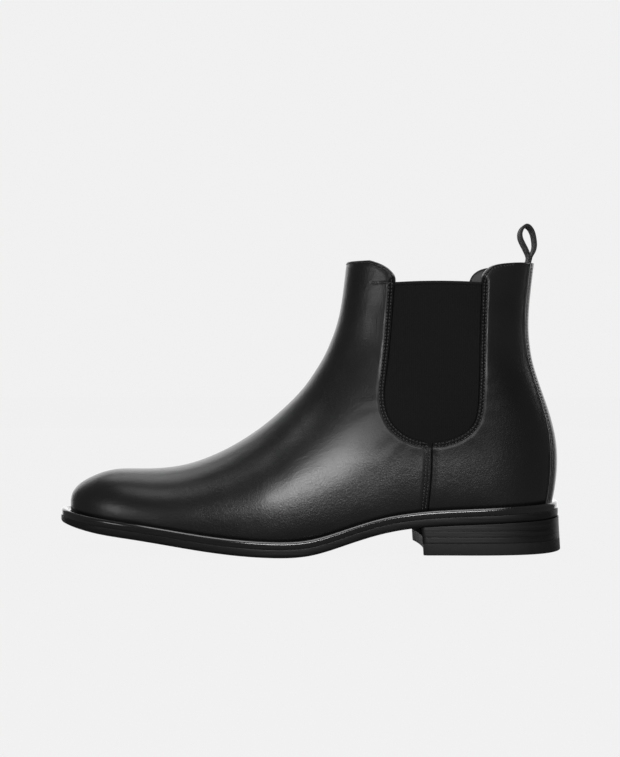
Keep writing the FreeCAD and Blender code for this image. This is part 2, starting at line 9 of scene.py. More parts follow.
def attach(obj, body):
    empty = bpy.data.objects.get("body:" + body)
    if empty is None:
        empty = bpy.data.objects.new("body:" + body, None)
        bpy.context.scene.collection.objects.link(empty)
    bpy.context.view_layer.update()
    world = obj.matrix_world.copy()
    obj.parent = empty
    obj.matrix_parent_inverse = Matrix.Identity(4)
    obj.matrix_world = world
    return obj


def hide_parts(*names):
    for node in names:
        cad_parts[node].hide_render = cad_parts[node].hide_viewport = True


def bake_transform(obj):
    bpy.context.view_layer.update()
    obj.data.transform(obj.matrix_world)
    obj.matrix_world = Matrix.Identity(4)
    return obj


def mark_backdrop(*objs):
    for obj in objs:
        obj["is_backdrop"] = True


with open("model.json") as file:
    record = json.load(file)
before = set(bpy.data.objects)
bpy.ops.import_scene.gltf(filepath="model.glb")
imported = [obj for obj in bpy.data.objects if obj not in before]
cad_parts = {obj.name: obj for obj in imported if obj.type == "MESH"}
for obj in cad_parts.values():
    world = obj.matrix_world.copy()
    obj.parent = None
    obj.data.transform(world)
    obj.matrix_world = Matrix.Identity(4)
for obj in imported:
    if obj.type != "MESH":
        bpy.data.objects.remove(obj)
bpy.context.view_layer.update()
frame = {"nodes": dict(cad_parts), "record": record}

MM = 0.001

# ---- the boot's own sizes, in mm, as the CAD has them ------------------------------------------------------
LEATHER = 1.4
STRAP_OUT = 1.35
GORE_DEPTH = 1.45
GORE_MARGIN = 6.5            # elastic sewn in behind the leather
LINING_DEPTH = 2.7
LINING_THICK = 1.0
TURNED_EDGE = -3.9           # inner face of the leather folded over the collar's edge
COLLAR_TOP = 174.2
BACK_TOP = 173.2
BACK_CROWN = 0.6             # the collar's back rises this much to its middle
CUT_TOP = 176.5              # above every edge of the upper
WELT_TOP = 4.4
OUTSOLE = 5.0
TILT = 0.035
HALF_LENGTH = 152.5
HEEL_FRONT = 66.6
BREAST_DEPTH = 3.0
BREAST_SKEW = 1.6
BREAST_LEAN = 2.4            # the breast's top is further forward than its foot
HEEL_TOP = 20.0
HEEL_HEIGHT = 27.0
HEEL_FLARE = 1.5
HEEL_INSET = 0.1
TAPE_HALF_WIDTH = 6.0
BALL, HEEL, SHAFT = 47.0, 35.5, 33.5

# What each row below says: top x, top z, bottom x, bottom z, the width it scales with, its outer and inner
# share, how far up the section is widest, and how full it is below and above that.

STATIONS = [
    (-146.4, 27.5, -146.4, 27.5, BALL, 0.00, 0.00, 0.45, 2.2, 2.2),
    (-145.9, 32.2, -145.9, 21.0, BALL, 0.13, 0.13, 0.45, 2.2, 2.2),
    (-143.6, 36.2, -143.6, 14.5, BALL, 0.26, 0.26, 0.46, 2.3, 2.2),
    (-139.2, 40.0, -139.2, 8.0, BALL, 0.39, 0.39, 0.47, 2.4, 2.2),
    (-131.5, 44.0, -131.5, 3.0, BALL, 0.53, 0.53, 0.47, 2.5, 2.2),
    (-119.0, 47.4, -119.0, -1.0, BALL, 0.67, 0.67, 0.46, 2.6, 2.2),
    (-101.0, 47.8, -101.0, -4.0, BALL, 0.79, 0.81, 0.45, 2.7, 2.15),
    (-79.0, 49.8, -79.0, -8.0, BALL, 0.89, 0.92, 0.44, 2.7, 2.1),
    (-56.0, 57.6, -52.0, -11.0, BALL, 0.96, 0.99, 0.42, 2.7, 2.05),
    (-34.0, 70.3, -22.0, -13.0, BALL, 1.00, 0.98, 0.40, 2.7, 2.0),
    (-15.5, 85.4, 10.0, -9.0, BALL, 0.95, 0.88, 0.40, 2.7, 2.0),
    (-1.2, 100.9, 44.0, -2.0, BALL, 0.86, 0.78, 0.42, 2.8, 2.0),
    (8.4, 116.5, 80.0, 4.0, HEEL, 1.06, 0.99, 0.46, 3.0, 2.0),
    (14.2, 129.5, 114.0, 5.0, HEEL, 1.03, 0.98, 0.48, 3.3, 2.0),
    (17.7, 141.0, 136.4, 11.0, HEEL, 1.01, 0.98, 0.49, 3.2, 2.0),
    (19.6, 151.5, 146.7, 34.0, HEEL, 1.00, 0.98, 0.50, 2.7, 2.0),
    (20.8, 160.5, 148.6, 62.0, HEEL, 0.98, 0.97, 0.50, 2.35, 2.0),
    (21.7, 168.0, 142.4, 88.0, HEEL, 0.96, 0.95, 0.50, 2.15, 2.0),
    (22.3, 174.5, 134.6, 112.0, HEEL, 0.94, 0.94, 0.50, 2.1, 2.0),
    (22.9, 181.0, 131.9, 136.0, SHAFT, 0.99, 0.99, 0.50, 2.1, 2.0),
    (23.5, 187.0, 133.7, 160.0, SHAFT, 0.98, 0.98, 0.50, 2.1, 2.0),
    (24.0, 193.0, 136.6, 184.0, SHAFT, 0.98, 0.98, 0.50, 2.1, 2.0),
    (24.4, 200.0, 139.5, 208.0, SHAFT, 0.98, 0.98, 0.50, 2.1, 2.0),
]
SOLE_LINE = [(-160.0, 21.4), (-130.0, 16.9), (-100.0, 13.7), (-62.0, 8.6), (-22.0, 5.1), (0.0, 6.0),
             (20.0, 11.3), (42.0, 17.4), (66.0, 20.9), (95.0, 22.6), (160.0, 25.2)]
SOLE_OUTER = [(-152.5, 0.0), (-143.5, 20.0), (-118.0, 35.5), (-76.0, 46.0), (-32.0, 50.5), (14.0, 44.5),
              (62.0, 36.0), (112.0, 35.5), (139.8, 25.5), (150.9, 0.0)]
SOLE_INNER = [(-152.5, 0.0), (-143.5, 20.0), (-118.0, 36.0), (-76.0, 48.0), (-32.0, 49.0), (14.0, 38.0),
              (62.0, 31.5), (112.0, 34.0), (139.8, 25.0), (150.9, 0.0)]
COLLAR_FRONT = [(35.0, 174.2), (41.5, 171.6), (46.6, 168.0), (49.2, 164.2), (49.5, 160.7)]
GORE_FOOT = (71.0, 67.4)
GORE_FRONT = [
    (49.5, 160.7), (47.3, 130.0), (44.7, 106.4), (43.6, 94.0), (46.5, 81.0), (55.5, 71.6), GORE_FOOT]
GORE_REAR = [
    GORE_FOOT, (84.5, 69.8), (95.0, 77.5), (98.4, 92.0), (99.4, 112.0), (100.6, 144.0), (101.3, 160.7)]
COLLAR_REAR = [(101.3, 160.7), (102.6, 165.4), (107.0, 169.8), (114.0, 171.8), (134.0, 173.2)]
SIDE_SEAM = [GORE_FOOT, (70.9, 52.0), (69.8, 36.0), (68.0, 16.0)]
STRAP = [(184.0, 10.5), (150.0, 11.0), (122.0, 12.0), (98.0, 14.0), (76.0, 17.0), (50.0, 19.0), (18.0, 20.0)]
LOOP = [
    (-3.4, -12.0), (-2.9, -6.0), (-1.6, -1.5), (-1.1, 1.0), (-2.1, 4.5), (-3.8, 8.0), (-6.0, 13.5), (-5.3, 17.7),
    (-2.4, 20.2), (0.8, 17.4), (2.4, 12.0), (2.7, 7.5), (1.8, 4.0), (0.4, 1.0), (-0.2, -1.5), (-1.6, -6.0),
    (-2.1, -12.0)]


# ---- splines -----------------------------------------------------------------------------------------------
def natural(values, knots=None, flat_start=False):
    """A cubic spline through values at knots; natural at its ends, or level at its start."""
    v = np.asarray(values, float)
    n = len(v)
    k = np.arange(n, dtype=float) if knots is None else np.asarray(knots, float)
    h = np.diff(k)
    a = np.zeros((n, n))
    r = np.zeros(n)
    a[0, 0] = a[-1, -1] = 1.0
    for i in range(1, n - 1):
        a[i, i - 1:i + 2] = h[i - 1], 2.0 * (h[i - 1] + h[i]), h[i]
        r[i] = 6.0 * ((v[i + 1] - v[i]) / h[i] - (v[i] - v[i - 1]) / h[i - 1])
    if flat_start:
        a[0, 0:2] = 2.0, 1.0
        r[0] = 6.0 * (v[1] - v[0])
    m = np.linalg.solve(a, r)

    def value(x):
        x = np.asarray(x, float)
        i = np.clip(np.searchsorted(k, x, side="right") - 1, 0, n - 2)
        t = (x - k[i]) / h[i]
        u = 1.0 - t
        bend = ((u ** 3 - u) * m[i] + (t ** 3 - t) * m[i + 1]) * h[i] ** 2 / 6.0
        return u * v[i] + t * v[i + 1] + bend
    return value


def travelled(line):
    """The length run along a line, at each of its points."""
    return np.concatenate([[0.0], np.cumsum(np.linalg.norm(np.diff(line, axis=0), axis=1))])


def curve(points, step=0.6, closed=False):
    """Evenly spaced points on a smooth curve through points."""
    p = np.asarray(points, float)
    if closed:
        wrap = 4
        p = np.vstack([p[-wrap:], p, p[:wrap + 1]])
    length = travelled(p)
    fits = [natural(p[:, c], length) for c in range(p.shape[1])]
    first, last = (length[wrap], length[-wrap - 1]) if closed else (0.0, length[-1])
    dense = np.linspace(first, last, 2000)
    xy = np.stack([f(dense) for f in fits], 1)
    travel = travelled(xy)
    count = max(int(round(travel[-1] / step)), 2)
    wanted = np.linspace(0.0, travel[-1], count + 1)
    result = np.stack([np.interp(wanted, travel, xy[:, c]) for c in range(p.shape[1])], 1)
    return result[:-1] if closed else result


def station_column(i):
    """One property of the sections, as a spline over the stations; widths are shares of the row's width."""
    values = [row[i] * row[4] if i in (5, 6) else row[i] for row in STATIONS]
    return natural(values, flat_start=i in (0, 2))


COLUMNS = [station_column(i) for i in (0, 1, 2, 3, 5, 6, 7, 8, 9)]
LAST_S = len(STATIONS) - 1.0


def swing(x):
    return 4.0 * np.maximum(-x / HALF_LENGTH, 0.0) ** 2


def last_points(s, a):
    """Points of the outer surface; a runs from the bottom line over the inner side and back by the outer."""
    tx, tz, bx, bz, outer, inner, wide, low, high = [c(s) for c in COLUMNS]
    turn = np.mod(a, 2.0 * math.pi)
    side = np.where(turn > math.pi, -1.0, 1.0)
    width = np.maximum(np.where(turn > math.pi, outer, inner), 0.0)
    turn = np.where(turn > math.pi, 2.0 * math.pi - turn, turn)
    c = np.cos(turn)
    full = np.where(c > 0.0, low, high)
    reach = np.where(c > 0.0, wide, wide - 1.0)
    up = wide - reach * np.abs(c) ** (2.0 / full)
    across = side * width * np.maximum(np.sin(turn), 0.0) ** (2.0 / full)
    x = bx + (tx - bx) * up
    return np.stack([x, across + swing(x), bz + (tz - bz) * up], -1)


def last_normals(s, a):
    e = 0.02
    ds = last_points(np.minimum(s + e, LAST_S), a) - last_points(np.maximum(s - e, 0.0), a)
    da = last_points(s, a + e) - last_points(s, a - e)
    n = np.cross(da, ds)
    return n / np.maximum(np.linalg.norm(n, axis=-1, keepdims=True), 1e-9)


SOLE_FIT = natural([z for _, z in SOLE_LINE], [x for x, _ in SOLE_LINE])


def sole_z(x):
    return SOLE_FIT(np.clip(x, SOLE_LINE[0][0], SOLE_LINE[-1][0]))


# ---- a mesh of polygons that can be cut along a level of a field -------------------------------------------
class Sheet:
    def __init__(self, points, normals, faces):
        self.p = points
        self.n = normals
        self.faces = faces

    def cut(self, field, level=0.0, keep="above"):
        """Cut along field = level. Keeps what is above it, or both sides."""
        f = field(self.p) - level
        f = np.where(np.abs(f) < 1e-4, 1e-4, f)
        above = f > 0.0
        faces = []
        made = {}
        new_p, new_n = [], []
        base = len(self.p)

        def crossing(i, j):
            key = (i, j) if i < j else (j, i)
            if key not in made:
                t = f[key[0]] / (f[key[0]] - f[key[1]])
                new_p.append(self.p[key[0]] * (1 - t) + self.p[key[1]] * t)
                normal = self.n[key[0]] * (1 - t) + self.n[key[1]] * t
                new_n.append(normal / np.linalg.norm(normal))
                made[key] = base + len(new_p) - 1
            return made[key]

        for face in self.faces:
            states = [above[i] for i in face]
            if all(states):
                faces.append(face)
                continue
            if not any(states):
                if keep == "both":
                    faces.append(face)
                continue
            top, bottom = [], []
            for k, i in enumerate(face):
                j = face[(k + 1) % len(face)]
                (top if above[i] else bottom).append(i)
                if above[i] != above[j]:
                    c = crossing(i, j)
                    top.append(c)
                    bottom.append(c)
            if len(top) > 2:
                faces.append(tuple(top))
            if keep == "both" and len(bottom) > 2:
                faces.append(tuple(bottom))
        if new_p:
            self.p = np.vstack([self.p, new_p])
            self.n = np.vstack([self.n, new_n])
        self.faces = faces
        return self.compact()

    def compact(self):
        used = np.zeros(len(self.p), bool)
        for face in self.faces:
            used[list(face)] = True
        new = np.cumsum(used) - 1
        self.faces = [tuple(int(new[i]) for i in face) for face in self.faces]
        self.p = self.p[used]
        self.n = self.n[used]
        return self

    def rim(self):
        """Boundary edges, in the direction of their faces."""
        edges = {}
        for face in self.faces:
            for k, i in enumerate(face):
                j = face[(k + 1) % len(face)]
                if (j, i) in edges:
                    del edges[(j, i)]
                else:
                    edges[(i, j)] = True
        return list(edges)

    def copy(self):
        return Sheet(self.p.copy(), self.n.copy(), list(self.faces))

    def solid(self, name, top, bottom):
        """Closed piece between two offsets along the normals."""
        count = len(self.p)
        upper = self.p + self.n * top[:, None]
        lower = self.p + self.n * bottom[:, None]
        faces = list(self.faces) + [tuple(i + count for i in reversed(face)) for face in self.faces]
        for i, j in self.rim():
            faces.append((j, i, i + count, j + count))
        return make(name, np.vstack([upper, lower]), faces)


def make(name, points, faces):
    """A smooth-shaded object from points in mm."""
    mesh = bpy.data.meshes.new(name)
    mesh.from_pydata((np.asarray(points) * MM).tolist(), [], [tuple(f) for f in faces])
    mesh.validate()
    mesh.update()
    obj = bpy.data.objects.new(name, mesh)
    bpy.context.scene.collection.objects.link(obj)
    mesh.polygons.foreach_set("use_smooth", np.ones(len(mesh.polygons), bool))
    return obj


def keep_edges(obj, angle):
    """Smooth shading, with edges sharper than angle kept crisp."""
    bpy.context.view_layer.objects.active = obj
    obj.select_set(True)
    bpy.ops.object.shade_smooth_by_angle(angle=math.radians(angle))
    obj.select_set(False)


WIDEST_GIRTH = 330.0


def last_sheet(step):
    """The whole outer surface as a grid, with rows and columns about step mm apart."""
    fine = np.linspace(0.0, LAST_S, 4000)
    top = np.stack([COLUMNS[0](fine), COLUMNS[1](fine)], 1)
    bottom = np.stack([COLUMNS[2](fine), COLUMNS[3](fine)], 1)
    side = np.stack([(COLUMNS[0](fine) + COLUMNS[2](fine)) / 2, COLUMNS[4](fine)], 1)
    travel = [np.linalg.norm(np.diff(line, axis=0), axis=1) for line in (top, bottom, side)]
    length = np.concatenate([[0.0], np.cumsum(np.maximum.reduce(travel))])
    rows = int(length[-1] / step)
    s = np.interp(np.linspace(0.0, length[-1], rows), length, fine)[1:]
    columns = int(WIDEST_GIRTH / step) // 2 * 2
    a = 2.0 * math.pi * np.arange(columns) / columns
    ss, aa = np.meshgrid(s, a, indexing="ij")
    p = last_points(ss, aa).reshape(-1, 3)
    n = last_normals(ss, aa).reshape(-1, 3)
    toe = last_points(np.array([0.0]), np.array([0.0]))
    p = np.vstack([p, toe])
    n = np.vstack([n, [[-1.0, 0.0, 0.0]]])
    faces = []
    for r in range(len(s) - 1):
        for c in range(columns):
            d = (c + 1) % columns
            faces.append((r * columns + c, (r + 1) * columns + c, (r + 1) * columns + d, r * columns + d))
    tip = len(p) - 1
    for c in range(columns):
        faces.append((tip, c, (c + 1) % columns))
    return Sheet(p, n, faces)


# ---- outlines as signed distances, seen from the side ------------------------------------------------------
def distance_to(line, x, z):
    """Distance from points to a polyline."""
    best = np.full(len(x), 1e9)
    for (x0, z0), (x1, z1) in zip(line, line[1:]):
        dx, dz = x1 - x0, z1 - z0
        t = np.clip(((x - x0) * dx + (z - z0) * dz) / (dx * dx + dz * dz), 0.0, 1.0)
        best = np.minimum(best, (x - x0 - t * dx) ** 2 + (z - z0 - t * dz) ** 2)
    return np.sqrt(best)


def inside(polygon, x, z):
    result = np.zeros(len(x), bool)
    for (x0, z0), (x1, z1) in zip(polygon, np.roll(polygon, -1, axis=0)):
        if z0 == z1:
            continue
        crosses = (z0 > z) != (z1 > z)
        result ^= crosses & (x < (x1 - x0) * (z - z0) / (z1 - z0) + x0)
    return result


def outline_field(edge, corners):
    """Signed distance to edge, positive inside the area that edge and the far corners enclose."""
    polygon = np.vstack([edge, corners])

    def field(p):
        x, z = p[:, 0], p[:, 2] - TILT * p[:, 1]
        d = np.full(len(x), 60.0)
        low, high = edge.min(0) - 12.0, edge.max(0) + 12.0
        close = (x > low[0]) & (x < high[0]) & (z > low[1]) & (z < high[1])
        d[close] = distance_to(edge, x[close], z[close])
        return np.where(inside(polygon, x, z), d, -d)
    return field


def joined(*runs):
    return np.vstack([runs[0]] + [r[1:] for r in runs[1:]])


EDGE_STEP = 0.8
level_front = curve([(x, COLLAR_TOP) for x in (-20.0, 0.0, 20.0, 35.0)], 2.0)
collar_front = joined(level_front, curve(COLLAR_FRONT, EDGE_STEP))
gore_u = curve(GORE_FRONT + GORE_REAR[1:], EDGE_STEP)
middle = int(np.argmin(np.abs(gore_u - GORE_FOOT).sum(1)))
gore_u[middle] = GORE_FOOT
gore_front, gore_rear = gore_u[:middle + 1], gore_u[middle:]
seam = curve(SIDE_SEAM, EDGE_STEP)
collar_rear = joined(curve(COLLAR_REAR, EDGE_STEP), np.array([(134.0, BACK_TOP), (160.0, 173.9)]))
VAMP_EDGE = joined(collar_front, gore_front, seam)
QUARTER_EDGE = joined(seam[::-1], gore_rear, collar_rear)
FAR, BELOW, ABOVE = 230.0, -60.0, 260.0
vamp_field = outline_field(VAMP_EDGE, [(68.0, BELOW), (-FAR, BELOW), (-FAR, COLLAR_TOP)])
quarter_field = outline_field(QUARTER_EDGE, [(FAR, 174.5), (FAR, BELOW), (68.0, BELOW)])
gore_field = outline_field(gore_u, [(101.3, ABOVE), (49.5, ABOVE)])
strap_fit = natural([h for _, h in STRAP][::-1], [z for z, _ in STRAP][::-1])


def strap_field(p):
    half = strap_fit(np.clip(p[:, 2], STRAP[-1][0], STRAP[0][0]))
    return np.where(p[:, 0] > 105.0, half - np.abs(p[:, 1]), -60.0)


def above_sole(lift):
    return lambda p: p[:, 2] - sole_z(p[:, 0]) - lift


def rounding(f, radius):
    """How far an edge's face drops within radius of the edge."""
    d = np.clip(f, 0.0, radius)
    return radius - np.sqrt(np.maximum(radius ** 2 - (radius - d) ** 2, 0.0))


def groove(f, centre, width, depth):
    return depth * np.exp(-((f - centre) / width) ** 2)


def waves(p, scale, seed):
    """Smooth, seeded, gentle unevenness."""
    rng = np.random.default_rng(seed)
    total = np.zeros(len(p))
    for _ in range(10):
        direction = rng.normal(size=3)
        direction /= np.linalg.norm(direction)
        total += np.sin(p @ direction * (2 * math.pi / scale) * rng.uniform(0.6, 1.6) + rng.uniform(0, 6.28))
    return total / 10.0


def below_top(p):
    return CUT_TOP - p[:, 2] + TILT * p[:, 1]


# ---- upper -------------------------------------------------------------------------------------------------
STEP = 1.15
GORE_ROWS = (1.2, 2.8)       # stitch rows, from the edge
SEAM_ROWS = (1.7, 3.6)
EDGE_ROW, STRAP_ROW = 1.4, 1.7
GORE_PRESS = (3.4, 0.24, 1.3)        # width, depth and run-out of each stitched band
SEAM_PRESS = (4.4, 0.18, 1.2)
COLLAR_PRESS = (2.0, 0.12, 2.0)
FOLD_PRESS = (0.2, 0.08, 1.2)
whole = last_sheet(STEP)
whole.cut(above_sole(0.4))
whole.cut(below_top)


def smooth_step(x, low, high):
    t = np.clip((x - low) / (high - low), 0.0, 1.0)
    return t * t * (3.0 - 2.0 * t)


def near(line, p, reach=14.0):
    """Distance to a side outline, and simply far away where it is out of reach."""
    x, z = p[:, 0], p[:, 2] - TILT * p[:, 1]
    d = np.full(len(x), reach)
    low, high = np.min(line, 0) - reach, np.max(line, 0) + reach
    close = (x > low[0]) & (x < high[0]) & (z > low[1]) & (z < high[1])
    d[close] = np.minimum(distance_to(line, x[close], z[close]), reach)
    return d


def pressed(d, rows, width, depth, ease):
    """A stitched band: pressed flat, with a furrow under each row, and a soft rise beyond."""
    drop = depth * (1.0 - smooth_step(d, width, width + ease))
    drop -= 0.10 * depth * np.exp(-((d - width - ease - 1.0) / 2.0) ** 2)
    for row in rows:
        drop += groove(d, row, 0.45, 0.16)
    return drop


def creases(p):
    """Fine folds of worn-in leather: at the ankle's front and back, over the ball, and round the elastic."""
    x, z = p[:, 0], p[:, 2]
    ankle = np.exp(-(((x - 18.0) / 24.0) ** 2 + ((z - 112.0) / 20.0) ** 2))
    fold = np.sin((z * 0.9 + x * 0.35 + 3.0 * waves(p, 26.0, 31)) / 4.6) * ankle * 0.16
    ball = np.exp(-(((x + 20.0) / 26.0) ** 2 + ((z - 45.0) / 26.0) ** 2))
    fold += np.sin((x + 0.25 * z + 4.0 * waves(p, 30.0, 33)) / 4.4) * ball * 0.07
    angle = np.arctan2(z - 92.0, x - GORE_FOOT[0])
    radius = np.hypot(x - GORE_FOOT[0], z - 92.0)
    fan = np.exp(-((radius - 36.0) / 9.0) ** 2) * (z < 120.0)
    fold += np.sin(angle * 22.0 + 2.5 * waves(p, 22.0, 35)) * fan * 0.07
    back = np.exp(-(((x - 128.0) / 16.0) ** 2 + ((z - 118.0) / 18.0) ** 2))
    fold += np.sin((z + 3.0 * waves(p, 24.0, 37)) / 3.8) * back * 0.10
    return fold


def mark_band(obj, values):
    """Store one number per vertex, for the material to use."""
    layer = obj.data.attributes.new("band", "FLOAT", "POINT")
    layer.data.foreach_set("value", np.asarray(values, np.float32))


def top_rim(p):
    """How far a point is below the collar's level front and back top."""
    high = p[:, 2] - TILT * p[:, 1]
    front = np.where(p[:, 0] < 60.0, COLLAR_TOP - high, 60.0)
    crown = BACK_CROWN * np.clip((p[:, 0] - 134.0) / 20.0, 0.0, 1.0)
    back = np.where(p[:, 0] > 110.0, BACK_TOP + crown - high, 60.0)
    return np.minimum(front, back)


def dullness_and_painted_shade(p, seam_side):
    """Where the leather is dull and darker: the stitched bands and round the elastic's foot; along the gap at
    the welt the darkening is partly the welt's edge ink and partly painted shade.
    """
    dull = 1.0 - smooth_step(near(gore_u, p), 3.2, 4.0)
    if seam_side:
        beside = 0.7 * (1.0 - smooth_step(near(seam, p), 4.0, 4.6))
        dull = np.maximum(dull, beside * (p[:, 2] < 67.0))
    foot = 1.0 - smooth_step(near(gore_u, p, 50.0), 2.0, 48.0)
    foot *= smooth_step(p[:, 2], 44.0, 66.0) * (1.0 - smooth_step(p[:, 2], 96.0, 130.0))
    # Just above the welt the leather is darkened: painted shade of the gap, together with the welt's edge ink.
    feather = p[:, 2] - sole_z(p[:, 0]) - WELT_TOP
    return np.maximum.reduce([dull, 0.68 * foot, 1.0 - smooth_step(feather, 0.8, 2.6)])


def leather_panel(name, field, part, edges, dip=None):
    """A leather panel cut from the last; edges lists (line, stitch rows, press)."""
    sheet = whole.copy()
    if part is not None:
        sheet.cut(part)
    sheet.cut(field)
    marks = (0.08, 0.22, 0.45, 0.8)
    marks += (1.2, 1.6, 2.0, 2.4, 2.8, 3.2, 3.6, 4.2, 4.8, 5.4, 6.2, 7.0)
    for mark in marks:
        sheet.cut(field, mark, keep="both")
    f = field(sheet.p)
    top = -rounding(f, 0.8)
    for line, rows, press in edges:
        top -= pressed(near(line, sheet.p), rows, *press)
    top += 0.12 * waves(sheet.p, 40.0, 4) + 0.05 * waves(sheet.p, 13.0, 5)
    top += creases(sheet.p) * smooth_step(f, 1.0, 6.0)
    if dip is not None:
        top -= dip(sheet.p)
    rims = [near(collar_front, sheet.p), near(collar_rear, sheet.p), top_rim(sheet.p)]
    turned = np.minimum.reduce(rims) < 1.5
    bottom = np.where(turned, TURNED_EDGE + rounding(f, 0.5), np.minimum(top - 0.7, -LEATHER))
    obj = sheet.solid(name, top, bottom)
    mark_band(obj, np.tile(dullness_and_painted_shade(sheet.p, dip is None), 2))
    return obj


tab_fold = np.array([(37.0, 160.4), (49.3, 160.7)])
vamp = leather_panel("vamp_leather", vamp_field, None, [
    (gore_u, GORE_ROWS, GORE_PRESS), (seam, SEAM_ROWS, SEAM_PRESS), (collar_front, (EDGE_ROW,), COLLAR_PRESS),
    (tab_fold, (0.0,), FOLD_PRESS)])


def under_vamp(p):
    """The quarter dips where it goes under the vamp's edge."""
    clear_of_gore = 0.3 + 0.7 * smooth_step(near(gore_u, p), 3.0, 7.0)
    return 0.85 * np.exp(-(near(seam, p) / 3.0) ** 2) * clear_of_gore


def quarter_panel(side, label):
    edges = [(gore_u, GORE_ROWS, GORE_PRESS), (collar_rear, (EDGE_ROW,), COLLAR_PRESS)]
    name = "quarter_%s_leather" % label
    return leather_panel(name, quarter_field, lambda p: side * p[:, 1] - 0.1, edges, dip=under_vamp)


SIDES = ((-1, "lateral"), (1, "medial"))
quarters = [quarter_panel(side, label) for side, label in SIDES]


def strap_panel():
    sheet = whole.copy()
    sheet.cut(lambda p: p[:, 0] - 100.0)
    sheet.cut(quarter_field, 0.0)
    sheet.cut(strap_field)
    sheet.cut(above_sole(WELT_TOP + 0.1))
    for mark in (0.10, 0.30, 0.6, 1.2, 2.2):
        sheet.cut(strap_field, mark, keep="both")
    f = strap_field(sheet.p)
    top = STRAP_OUT - 0.25 - rounding(f, 0.6) - groove(f, STRAP_ROW, 0.5, 0.15) + creases(sheet.p) * 0.6
    top += 0.25 * smooth_step(f, 2.0, 6.0)
    return sheet.solid("back_strap_leather", top, np.full(len(f), 0.05))


strap = strap_panel()


def gore_panel(side, label):
    sheet = whole.copy()
    sheet.cut(lambda p: side * p[:, 1] - 2.0)
    sheet.cut(gore_field, -GORE_MARGIN)

    def top_edge(p):
        """How far a point is below the gore's slightly arched top."""
        return 160.9 + 0.6 * np.cos((p[:, 0] - 75.0) / 26.0 * math.pi / 2) - p[:, 2] + TILT * p[:, 1]
    sheet.cut(top_edge)
    for mark in (0.25, 0.6, 1.0, 1.7, 2.0, 2.3, 2.7):
        sheet.cut(top_edge, mark, keep="both")
    f = gore_field(sheet.p)
    belly = 0.5 * smooth_step(f, 0.0, 12.0)
    edge = top_edge(sheet.p)
    top = np.full(len(f), -GORE_DEPTH) + belly + 0.12 * waves(sheet.p, 16.0, 9) - rounding(edge, 0.4)
    top += 0.30 * (1.0 - smooth_step(edge, 1.4, 1.9)) - 0.25 * np.exp(-((edge - 2.1) / 0.35) ** 2)
    obj = sheet.solid("gore_%s_elastic" % label, top, top - 1.0)
    binding = 1.0 - smooth_step(edge, 1.6, 1.8)
    mark_band(obj, np.tile(binding, 2))
    return obj


gores = [gore_panel(side, label) for side, label in SIDES]


def lining_panel(name, field):
    sheet = lining_base.copy()
    sheet.cut(field)
    sheet.cut(field, 0.4, keep="both")
    f = field(sheet.p)
    bottom = np.full(len(f), -LINING_DEPTH - LINING_THICK) + rounding(f, 0.4)
    bottom += 0.15 * waves(sheet.p, 45.0, 12)
    return sheet.solid(name, np.full(len(f), -LINING_DEPTH + 1.2), bottom)


lining_base = last_sheet(STEP * 1.6)
lining_base.cut(above_sole(5.0))
lining_base.cut(below_top)
vamp_lining = lining_panel("vamp_lining_leather", vamp_field)
quarter_lining = lining_panel("quarter_lining_leather", quarter_field)


# ---- thread ------------------------------------------------------------------------------------------------
def tree_of(obj):
    """A search tree over a finished piece, in mm."""
    p = np.array([v.co for v in obj.data.vertices]) / MM
    return BVHTree.FromPolygons(p.tolist(), [tuple(f.vertices) for f in obj.data.polygons])


surface_tree = BVHTree.FromPolygons(whole.p.tolist(), whole.faces)
TREES = {o.name: tree_of(o) for o in [vamp, strap] + quarters}


def hit_on(tree, origin, direction):
    hit, normal, _, _ = tree.ray_cast(Vector(origin), Vector(direction))
    if hit is None:
        return None
    if normal.dot(Vector(direction)) > 0:
        normal = -normal
    return hit, normal


def on_side(line, side, obj):
    """Points of a side outline put on a piece, with normals."""
    tree = TREES[obj.name]
    found = []
    for x, z in line:
        z_hit = z + TILT * side * 34.0
        for _ in range(2):
            got = hit_on(tree, (x, side * 200.0, z_hit), (0.0, -side, 0.0))
            if got is None:
                break
            z_hit = z + TILT * got[0].y
        if got is not None:
            found.append(got)
    return found


def round_shaft(obj, height, first, last, count=90):
    """Points on a piece round the shaft, from one angle to another, at a height that may tilt."""
    tree = TREES[obj.name]
    found = []
    for angle in np.linspace(math.radians(first), math.radians(last), count):
        direction = (-math.cos(angle), -math.sin(angle), 0.0)
        y = 33.0 * math.sin(angle)
        origin = (78.0 + 300.0 * math.cos(angle), 300.0 * math.sin(angle), height + TILT * y)
        got = hit_on(tree, origin, direction)
        if got is not None and (got[0] - Vector(origin)).length < 300.0:
            found.append(got)
    return found


PITCH, STITCH, THREAD_RADIUS = 2.0, 1.5, 0.34
# A stitch's sections: place along it, share of its thickness, height over the leather.
SECTIONS = (
    (-0.5, 0.25, -0.30), (-0.36, 0.85, -0.02), (0.0, 1.0, 0.06), (0.36, 0.85, -0.02), (0.5, 0.25, -0.30))


